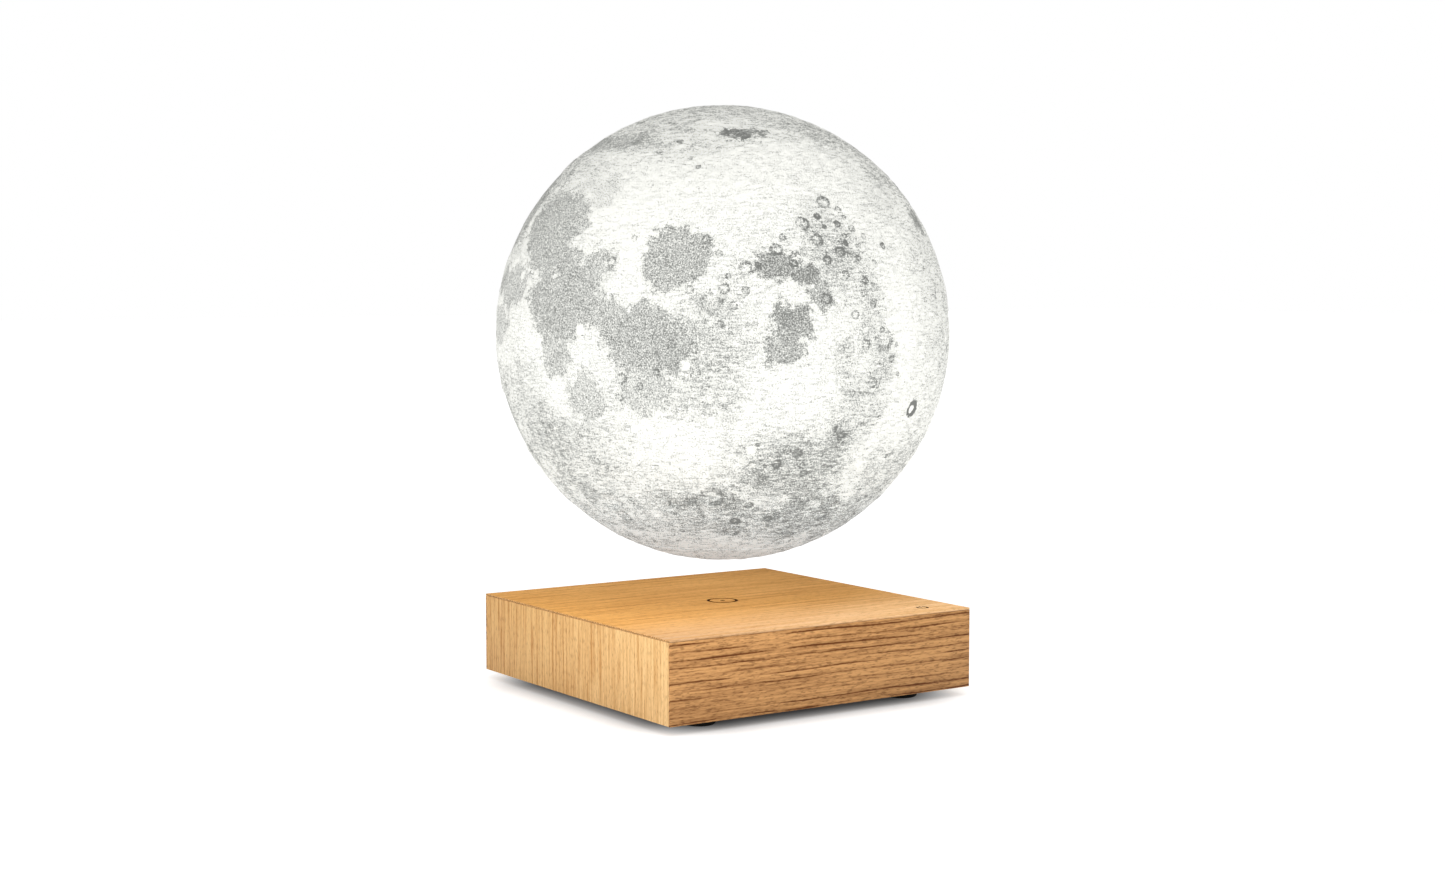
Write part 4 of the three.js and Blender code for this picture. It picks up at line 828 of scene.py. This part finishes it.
def write_craters(mesh, points, craters):
    """Gives each face the smallest crater that reaches it, and its corners their places in that crater."""
    corners = points[read_all(mesh.loops, "vertex_index")]
    sizes = read_all(mesh.polygons, "loop_total")
    middles = np.add.reduceat(corners, read_all(mesh.polygons, "loop_start"), axis=0) / sizes[:, None]
    tree = search_tree(middles)
    nearest = np.full(len(sizes), -1)
    for index, (middle, _, _, radius, _, _) in enumerate(craters):
        for _, number, _ in tree.find_range(middle, (RING_REACH * radius + HALF_FACE) / MOON_RADIUS):
            nearest[number] = index
    middle, east, north, radius, floor, rim = (np.array(column) for column in zip(*craters))
    corner_crater = np.repeat(nearest, sizes)
    inside = corner_crater >= 0
    chosen = corner_crater[inside]
    step = (corners[inside] - middle[chosen]) * (MOON_RADIUS / radius[chosen])[:, None]
    run, rise = np.sum(step * east[chosen], axis=1), np.sum(step * north[chosen], axis=1)
    spots = np.full((len(corners), 3), (9.0, 9.0, 0.0))
    spots[inside] = np.stack([run, rise, floor[chosen]], axis=1)
    places = mesh.attributes.new("crater_place", "FLOAT_VECTOR", "CORNER")
    places.data.foreach_set("vector", spots.astype(np.float32).ravel())
    write_attribute(mesh, "crater_rim", "FACE", np.where(nearest >= 0, rim[np.maximum(nearest, 0)], 0))


def sliced_globe(height, keep_above):
    """A round bmesh over or under a height, and the edges round its cut.

    Its even square faces are those of a cube, divided and blown up.
    """
    bm = bmesh.new()
    bmesh.ops.create_cube(bm, size=2)
    bmesh.ops.subdivide_edges(bm, edges=bm.edges, cuts=SURFACE_FACES_ACROSS - 1, use_grid_fill=True)
    for vert in bm.verts:
        even = Vector(math.tan(part * math.pi / 4) for part in vert.co)
        vert.co = even.normalized() * MOON_RADIUS + MOON_MIDDLE
    bmesh.ops.bisect_plane(
        bm, geom=bm.verts[:] + bm.edges[:] + bm.faces[:], plane_co=(0, 0, height), plane_no=(0, 0, 1),
        dist=WELD, clear_inner=keep_above, clear_outer=not keep_above,
    )
    return bm, [edge for edge in bm.edges if edge.is_boundary]


def wall_inwards(bm, edges, profile):
    """Extrudes a round edge through (radius, height) points, and closes it with a face at the last."""
    for radius, height in profile:
        made = bmesh.ops.extrude_edge_only(bm, edges=edges)["geom"]
        edges = [item for item in made if isinstance(item, bmesh.types.BMEdge) and item.is_boundary]
        verts = {vert for edge in edges for vert in edge.verts}
        for vert in verts:
            flat = Vector((vert.co.x, vert.co.y, 0)).normalized() * radius
            vert.co = Vector((flat.x, flat.y, height))
    bmesh.ops.edgeloop_fill(bm, edges=edges)


def hollow_arc(radius, end, steps):
    """Points along the inside of the moon's wall, from a radius in its lower half to an angle."""
    start = -math.acos(radius / HOLLOW_RADIUS)
    angles = [start + (end - start) * i / steps for i in range(steps + 1)]
    return [(HOLLOW_RADIUS * math.cos(a), MOON_MIDDLE.z + HOLLOW_RADIUS * math.sin(a)) for a in angles]


# Operators


class MOONLAMP_OT_camera(bpy.types.Operator):
    """Places the camera"""

    bl_idname = "moon_lamp.place_camera"
    bl_label = "Camera"

    def execute(self, context):
        settings = settings_of(context, "camera")
        azimuth, elevation = settings.azimuth, settings.elevation
        flat = math.cos(elevation)
        back = Vector((math.sin(azimuth) * flat, -math.cos(azimuth) * flat, math.sin(elevation)))
        camera = new_object("camera", bpy.data.cameras.new("camera"))
        camera.data.lens = settings.lens
        camera.data.sensor_width = 36
        camera.location = Vector((0, 0, settings.aim_height)) + back * settings.distance
        camera.rotation_euler = (-back).to_track_quat("-Z", "Y").to_euler()
        context.scene.camera = camera
        context.scene.view_settings.view_transform = "Standard"
        return {"FINISHED"}


class MOONLAMP_OT_stage(bpy.types.Operator):
    """Lays a pale floor and sets up soft studio light"""

    bl_idname = "moon_lamp.make_stage"
    bl_label = "Stage"

    def execute(self, context):
        settings = settings_of(context, "stage")
        bm = bmesh.new()
        bmesh.ops.create_grid(bm, x_segments=8, y_segments=8, size=6)
        mesh = bpy.data.meshes.new("floor")
        bm.to_mesh(mesh)
        bm.free()
        mesh.materials.append(white_table())
        floor = new_object("floor", mesh)

        world = bpy.data.worlds.new("studio")
        world.use_nodes = True
        tree = world.node_tree
        room = settings.room_light
        seen = Shade(tree, add_node(tree, "LightPath").outputs["Is Camera Ray"])
        tree.nodes["Background"].inputs["Color"].default_value = (1, 1, 1, 1)
        tree.links.new((seen * (1 - room) + room).socket, tree.nodes["Background"].inputs["Strength"])
        context.scene.world = world
        self.add_light("key_light", (-1.2, 0.0, 0.75), 0.8, settings.key_power)
        self.add_light("top_light", (-0.35, -0.85, 1.35), 1.6, settings.top_power)
        # The photo shows the case as bright as the moon, so it has a light of its own
        case_light = self.add_light("case_light", (-0.7, -0.5, 1.15), 0.8, settings.case_power)
        case = bpy.data.collections.new("lit_by_case_light")
        for piece in context.scene.objects:
            if piece.name.startswith("oak_"):
                case.objects.link(piece)
        case_light.light_linking.receiver_collection = case
        case_light.light_linking.blocker_collection = case
        return {"FINISHED"}

    def add_light(self, name, place, size, power):
        """A soft round light that shines at the case."""
        light = bpy.data.lights.new(name, "AREA")
        light.shape = "DISK"
        light.size = size
        light.energy = power
        light.cycles.max_bounces = 0
        lamp = new_object(name, light)
        lamp.location = place
        lamp.visible_camera = False
        lamp.rotation_euler = (Vector((0, 0, 0.05)) - Vector(place)).to_track_quat("-Z", "Y").to_euler()
        return lamp


class MOONLAMP_OT_moon(bpy.types.Operator):
    """Prints the moon's shell and its lid, with seas and craters in relief"""

    bl_idname = "moon_lamp.make_moon"
    bl_label = "Printed moon"

    def execute(self, context):
        settings = settings_of(context, "moon")
        material = moon_print(settings)
        craters = spread_craters(settings)
        for name, bm, node in (
            ("printed_moon_shell", self.shell(), "moon_shell"),
            ("printed_moon_lid", self.lid(), "moon_lid"),
        ):
            mesh = mesh_from(name, bm, [material])
            print_surface(mesh, settings, craters)
            place_piece(name, mesh, "moon", "printed_white", node)
        return {"FINISHED"}

    def shell(self):
        """A hollow globe, whose mouth has a ledge for the lid and a collar over it."""
        bm, edge = sliced_globe(SHELL_LOW.z, True)
        bore = MOUTH_RADIUS - 2 * MM
        collar = MOUTH_RADIUS + 3 * MM
        ledge = LID_HIGH.z + GLUE_LINE
        collar_top = ledge + 2.5 * MM
        profile = [(MOUTH_RADIUS, ledge), (bore, ledge), (bore, collar_top), (collar, collar_top)]
        wall_inwards(bm, edge, profile + hollow_arc(collar, math.radians(89), 26))
        return bm

    def lid(self):
        """A shallow bowl, on whose flat floor the magnet's holder stands."""
        radius, top = LID_HIGH.x, LID_HIGH.z
        bm, edge = sliced_globe(MOON_MIDDLE.z - math.sqrt(MOON_RADIUS**2 - radius**2), False)
        bore = radius - 2.2 * MM
        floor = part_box("magnet_holder")[0].z - GLUE_LINE
        floor_angle = math.asin((floor - MOON_MIDDLE.z) / HOLLOW_RADIUS)
        wall_inwards(bm, edge, [(radius, top), (bore, top), *hollow_arc(bore, floor_angle, 8)])
        return bm


class MOONLAMP_OT_case(bpy.types.Operator):
    """Veneers the case in oak, with the two marks burned into its top"""

    bl_idname = "moon_lamp.make_case"
    bl_label = "Oak case"

    def execute(self, context):
        settings = settings_of(context, "case")
        # The paler fronts of the top and the sides are painted light and sheen
        top = oak_veneer(
            "oak_veneer_top", settings.top_light, settings.top_dark,
            ring_gap=5.2 * MM, ring_strength=0.6, fibre_strength=1.6, grit_strength=0.4, broad_strength=0.55,
            sway=2 * MM, near=settings.top_lit_left, lit_right=settings.top_lit_right, lit_reach=52 * MM,
        )
        front = oak_veneer(
            "oak_veneer_front", settings.front_light, settings.front_dark,
            ring_gap=2.3 * MM, ring_strength=1.75, fibre_strength=1.6, grit_strength=0.7, broad_strength=0.45,
            sway=3 * MM, shift=(0.4, 0.1, 0.2),
        )
        side = oak_veneer(
            "oak_veneer_side", settings.side_light, settings.side_dark, upright=True,
            ring_gap=1.7 * MM, ring_strength=0.5, fibre_strength=3.8, grit_strength=0.6, broad_strength=0.5,
            sway=2 * MM, shift=(0.1, 0.3, 0.6), near=settings.side_lit_front, lit_right=settings.side_lit_front,
            lit_reach=120 * MM,
        )
        for name, oak, slot in (
            ("front", front, "veneer_front"),
            ("back", front, "veneer_front"),
            ("left", side, "veneer_side"),
            ("right", side, "veneer_side"),
        ):
            low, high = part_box("veneer_" + name)
            bm = self.sheet(low, high, settings.edge)
            if name == "back":
                # A round hole for the plug, on the socket's axis
                hole = laid_down(pipe(5 * MM, low.y - OVERRUN, high.y + OVERRUN, 64))
                mesh = carved("oak_" + name, bm, [hole], [oak])
            else:
                mesh = mesh_from("oak_" + name, bm, [oak])
            place_piece("oak_" + name, mesh, "base", slot, "veneer_" + name)
        mesh = self.marked_top(settings, top)
        place_piece("oak_top", mesh, "base", "veneer_top", "veneer_top")
        return {"FINISHED"}

    def sheet(self, low, high, edge):
        bm = block(low, high)
        bevel(bm, bm.edges[:], edge, 2)
        return bm

    def marked_top(self, settings, oak):
        """The top sheet, with a ring in its middle and a power sign over the touch spring."""
        low = TOP_HIGH.z - settings.groove_depth
        high = TOP_HIGH.z + OVERRUN
        half = settings.groove_width / 2
        section = self.groove(settings.ring_radius, half, low, high)
        cutters = [turned([*section, section[0]], 96), pipe(1.6 * half, low, high, 24)]
        # The power sign has finer lines: an arc, open towards the back, and a bar
        half = 0.75 * half
        touch = settings.touch_radius - half
        opening = math.radians(32)
        arc = bmesh.new()
        section = self.groove(touch, half, low, high)
        face = arc.faces.new([arc.verts.new((radius, 0, height)) for radius, height in section])
        start = Matrix.Rotation(math.radians(90) + opening, 3, "Z")
        bmesh.ops.rotate(arc, verts=arc.verts, cent=(0, 0, 0), matrix=start)
        bmesh.ops.spin(
            arc, geom=[face, *face.edges, *face.verts], cent=(0, 0, 0), axis=(0, 0, 1),
            angle=math.tau - 2 * opening, steps=48,
            use_merge=False, use_normal_flip=False, use_duplicate=False,
        )
        x, y, _ = TOUCH_PLACE
        bmesh.ops.translate(arc, verts=arc.verts, vec=(x, y, 0))
        cutters += [arc, block((x - half, y + 0.2 * touch, low), (x + half, y + 1.15 * touch, high))]
        sheet = self.sheet(TOP_LOW, TOP_HIGH, settings.edge)
        for face in sheet.faces:
            face.normal_update()
            if abs(face.normal.x) > 0.9:
                face.material_index = 2
        return carved("oak_top", sheet, cutters, [oak, burned_wood(), end_grain()], cut_material=1)

    def groove(self, radius, half, low, high):
        """The section of a round groove's cutter."""
        return [(radius - half, low), (radius + half, low), (radius + half, high), (radius - half, high)]


class MOONLAMP_OT_underside(bpy.types.Operator):
    """Moulds the bottom cover with its slots, and the four rubber feet"""

    bl_idname = "moon_lamp.make_underside"
    bl_label = "Cover and feet"

    def execute(self, context):
        settings = settings_of(context, "underside")
        plastic = moulded("moulded_black_abs", settings.plastic, 0.5, 0.35, 0.03)
        rubber = moulded("moulded_black_rubber", settings.rubber, 0.85, 0.5, 0.04)
        bottom = COVER_LOW.z
        panel_top = CORE_LOW.z + 2.5 * MM
        under, over = bottom - OVERRUN, panel_top + OVERRUN
        bm = block(COVER_LOW, (COVER_HIGH.x, COVER_HIGH.y, panel_top))
        bevel(bm, upright_edges(bm), settings.cover_corner, 8)
        flat = [e for e in bm.edges if all(abs(v.co.z - bottom) < MM / 100 for v in e.verts)]
        bevel(bm, flat, settings.cover_edge, 2)
        feet = [round_node(f"rubber_foot_{i}") for i in range(1, 5)]
        cutters = []
        for middle, radius, _, top in feet:
            cutters.append(pipe(radius + SLIP_FIT, under, top + GLUE_LINE, 48, middle))
        for i in range(1, 5):
            middle, head, _, _ = round_node(f"cover_screw_{i}")
            sink = head + SLIP_FIT
            cutters.append(pipe(sink, under, bottom + 1.5 * MM, 48, middle))
            cutters.append(pipe(sink - 1.4 * MM, under, over, 32, middle))
        cutters += [self.slot_cutter((i - 2.5) * 5 * MM, under, over) for i in range(6)]
        # Four columns inside, which the tray's screws bite into
        columns = []
        for i in range(1, 5):
            middle, _, tip, _ = round_node(f"tray_screw_{i}")
            columns.append(pipe(3.6 * MM, panel_top - OVERRUN, COVER_HIGH.z, 48, middle))
            cutters.append(pipe(1.7 * MM, tip - SLIP_FIT, COVER_HIGH.z + OVERRUN, 32, middle))
        mesh = carved("moulded_cover", bm, cutters, [plastic], joined=columns)
        place_piece("moulded_cover", mesh, "base", "black_plastic", "bottom_cover")
        for i, foot in enumerate(feet, 1):
            mesh = mesh_from(f"moulded_foot_{i}", self.foot(settings.foot_round, *foot), [rubber])
            place_piece(f"moulded_foot_{i}", mesh, "base", "black_rubber", f"rubber_foot_{i}")
        return {"FINISHED"}

    def slot_cutter(self, y, low, high):
        """A slot with round ends, along X."""
        bm = block((-9 * MM, y - MM, low), (9 * MM, y + MM, high))
        bevel(bm, upright_edges(bm), 0.98 * MM, 8)
        return bm

    def foot(self, edge, middle, radius, low, high):
        """A round pad, with its lower edge rounded and a shallow dish moulded in its sole."""
        steps = 8
        arc = [i / steps * math.pi / 2 for i in range(steps + 1)]
        corner = [(radius - edge + edge * math.sin(a), low + edge - edge * math.cos(a)) for a in arc]
        dish, roof = 0.5 * radius, low + 0.2 * MM
        profile = [(0, roof), (dish - 0.4 * MM, roof), (dish, low), *corner, (radius, high), (0, high)]
        return turned(profile, 64, middle)


class MOONLAMP_OT_fasteners(bpy.types.Operator):
    """Turns the cover's four screws, with a cross in each head"""

    bl_idname = "moon_lamp.make_fasteners"
    bl_label = "Screws"

    def execute(self, context):
        zinc = moulded("zinc_plated_steel", linear("#A9ADB2"), 0.36, 0.6, 0.01, Metallic=1.0)
        for i in range(1, 5):
            middle, radius, low, high = round_node(f"cover_screw_{i}")
            screw = self.screw(middle, radius, low, high)
            mesh = carved(f"pan_head_screw_{i}", screw, self.cross(low, middle), [zinc])
            place_piece(f"pan_head_screw_{i}", mesh, "base", "steel", f"cover_screw_{i}")
        return {"FINISHED"}

    def screw(self, middle, radius, low, high):
        """A pan head that faces down, a shank with shallow thread and a point."""
        head = 1.4 * MM
        shank = 1.4 * MM
        root = 0.82 * shank
        pitch = 0.8 * MM
        neck = low + head
        profile = [(0, low), (0.62 * radius, low), (0.86 * radius, low + 0.12 * head)]
        profile += [(radius, low + 0.45 * head), (radius, neck), (shank, neck)]
        for turn in range(int((high - neck - MM) / pitch)):
            foot = neck + turn * pitch
            profile += [(root, foot + 0.2 * MM), (root, foot + 0.4 * MM), (shank, foot + 0.6 * MM)]
        profile += [(root, high - MM), (0, high)]
        return turned(profile, 40, middle)

    def cross(self, low, middle):
        """Two narrow cutters for the driver."""
        long, wide, deep = 1.5 * MM, 0.32 * MM, 0.9 * MM
        cutters = []
        for x, y in ((long, wide), (wide, long)):
            bm = block((-x, -y, low - OVERRUN), (x, y, low + deep))
            bmesh.ops.scale(bm, vec=(0.55, 0.55, 1), verts=[v for v in bm.verts if v.co.z > low])
            bmesh.ops.translate(bm, vec=middle, verts=bm.verts)
            cutters.append(bm)
        return cutters


class MOONLAMP_OT_socket(bpy.types.Operator):
    """Moulds the power socket and turns its pin"""

    bl_idname = "moon_lamp.make_socket"
    bl_label = "Power socket"

    def execute(self, context):
        plastic = moulded("moulded_black_nylon", linear("#161617"), 0.45, 0.3, 0.02)
        nickel = moulded("nickel_plated_brass", linear("#D2CFC6"), 0.22, 0.8, 0.005, Metallic=1.0)
        # A square shoulder at the front, and a round barrel on a foot behind it
        front, rear = JACK_HIGH.y, JACK_LOW.y
        half = 4.2 * MM
        bm = block((JACK_LOW.x, front - 3.4 * MM, JACK_LOW.z), JACK_HIGH)
        bevel(bm, bm.edges[:], 0.25 * MM, 2)
        barrel = laid_down(pipe(half, rear, front - MM, 48))
        foot = block((-half, rear, JACK_LOW.z), (half, front - MM, JACK_AXIS))
        # A bore for the plug, with a wider start that guides it, and a hole for the pin's root
        bore = laid_down(pipe(3.15 * MM, front - 9.5 * MM, front + OVERRUN, 64))
        wide, deep = 3.6 * MM, front - 0.5 * MM
        funnel = [(0, deep), (3.1 * MM, deep), (wide, front), (wide, front + OVERRUN), (0, front + OVERRUN)]
        root = laid_down(pipe(1.3 * MM, PIN_LOW.y - SLIP_FIT, front - 9 * MM, 32))
        cutters = [bore, laid_down(turned(funnel, 64)), root]
        mesh = carved("moulded_socket", bm, cutters, [plastic], joined=[barrel, foot])
        place_piece("moulded_socket", mesh, "base", "black_plastic", "dc_jack")
        pin = (PIN_HIGH.x - PIN_LOW.x) / 2
        tip = PIN_HIGH.y
        profile = [(0, PIN_LOW.y), (pin, PIN_LOW.y), (pin, tip - 0.7 * pin), (0.85 * pin, tip - 0.25 * pin)]
        profile += [(0.5 * pin, tip), (0, tip)]
        mesh = mesh_from("turned_pin", laid_down(turned(profile, 32)), [nickel])
        place_piece("turned_pin", mesh, "base", "nickel", "dc_jack_pin")
        return {"FINISHED"}


class MOONLAMP_OT_inside(bpy.types.Operator):
    """Finishes the pieces inside the case and the moon, which keep their CAD shapes"""

    bl_idname = "moon_lamp.finish_inside"
    bl_label = "Inner pieces"

    def execute(self, context):
        kept = {name: node.data.materials for name, node in frame["nodes"].items() if not node.hide_render}
        for starts, made, hex_colour, roughness, texture, depth, metal in FINISHES:
            material = moulded(made, linear(hex_colour), roughness, texture, depth, Metallic=metal)
            for name, materials in kept.items():
                if name.startswith(starts):
                    materials.clear()
                    materials.append(material)
        bare = [name for name, materials in kept.items() if not materials]
        if bare:
            raise RuntimeError(f"these nodes have no finish: {bare}")
        return {"FINISHED"}


class MOONLAMP_PT_panel(bpy.types.Panel):
    """Lists the lamp's operators and their settings"""

    bl_label = "Moon Lamp"
    bl_idname = "MOONLAMP_PT_panel"
    bl_space_type = "VIEW_3D"
    bl_region_type = "UI"
    bl_category = "Moon Lamp"

    def draw(self, context):
        for operator, group in STEPS:
            box = self.layout.box()
            box.operator(operator.bl_idname)
            if group:
                settings = settings_of(context, group)
                for name in SETTINGS[group].__annotations__:
                    box.prop(settings, name)


STEPS = (
    (MOONLAMP_OT_camera, "camera"),
    (MOONLAMP_OT_moon, "moon"),
    (MOONLAMP_OT_case, "case"),
    (MOONLAMP_OT_underside, "underside"),
    (MOONLAMP_OT_fasteners, None),
    (MOONLAMP_OT_socket, None),
    (MOONLAMP_OT_inside, None),
    (MOONLAMP_OT_stage, "stage"),
)
CLASSES = (*SETTINGS.values(), *(operator for operator, _ in STEPS), MOONLAMP_PT_panel)


def register():
    for item in CLASSES:
        bpy.utils.register_class(item)
    for group, kind in SETTINGS.items():
        setattr(bpy.types.Scene, "moon_lamp_" + group, PointerProperty(type=kind))


def unregister():
    for group in SETTINGS:
        delattr(bpy.types.Scene, "moon_lamp_" + group)
    for item in reversed(CLASSES):
        bpy.utils.unregister_class(item)


def main():
    register()
    for operator, _ in STEPS:
        category, name = operator.bl_idname.split(".")
        getattr(getattr(bpy.ops, category), name)()


if __name__ == "__main__":
    main()
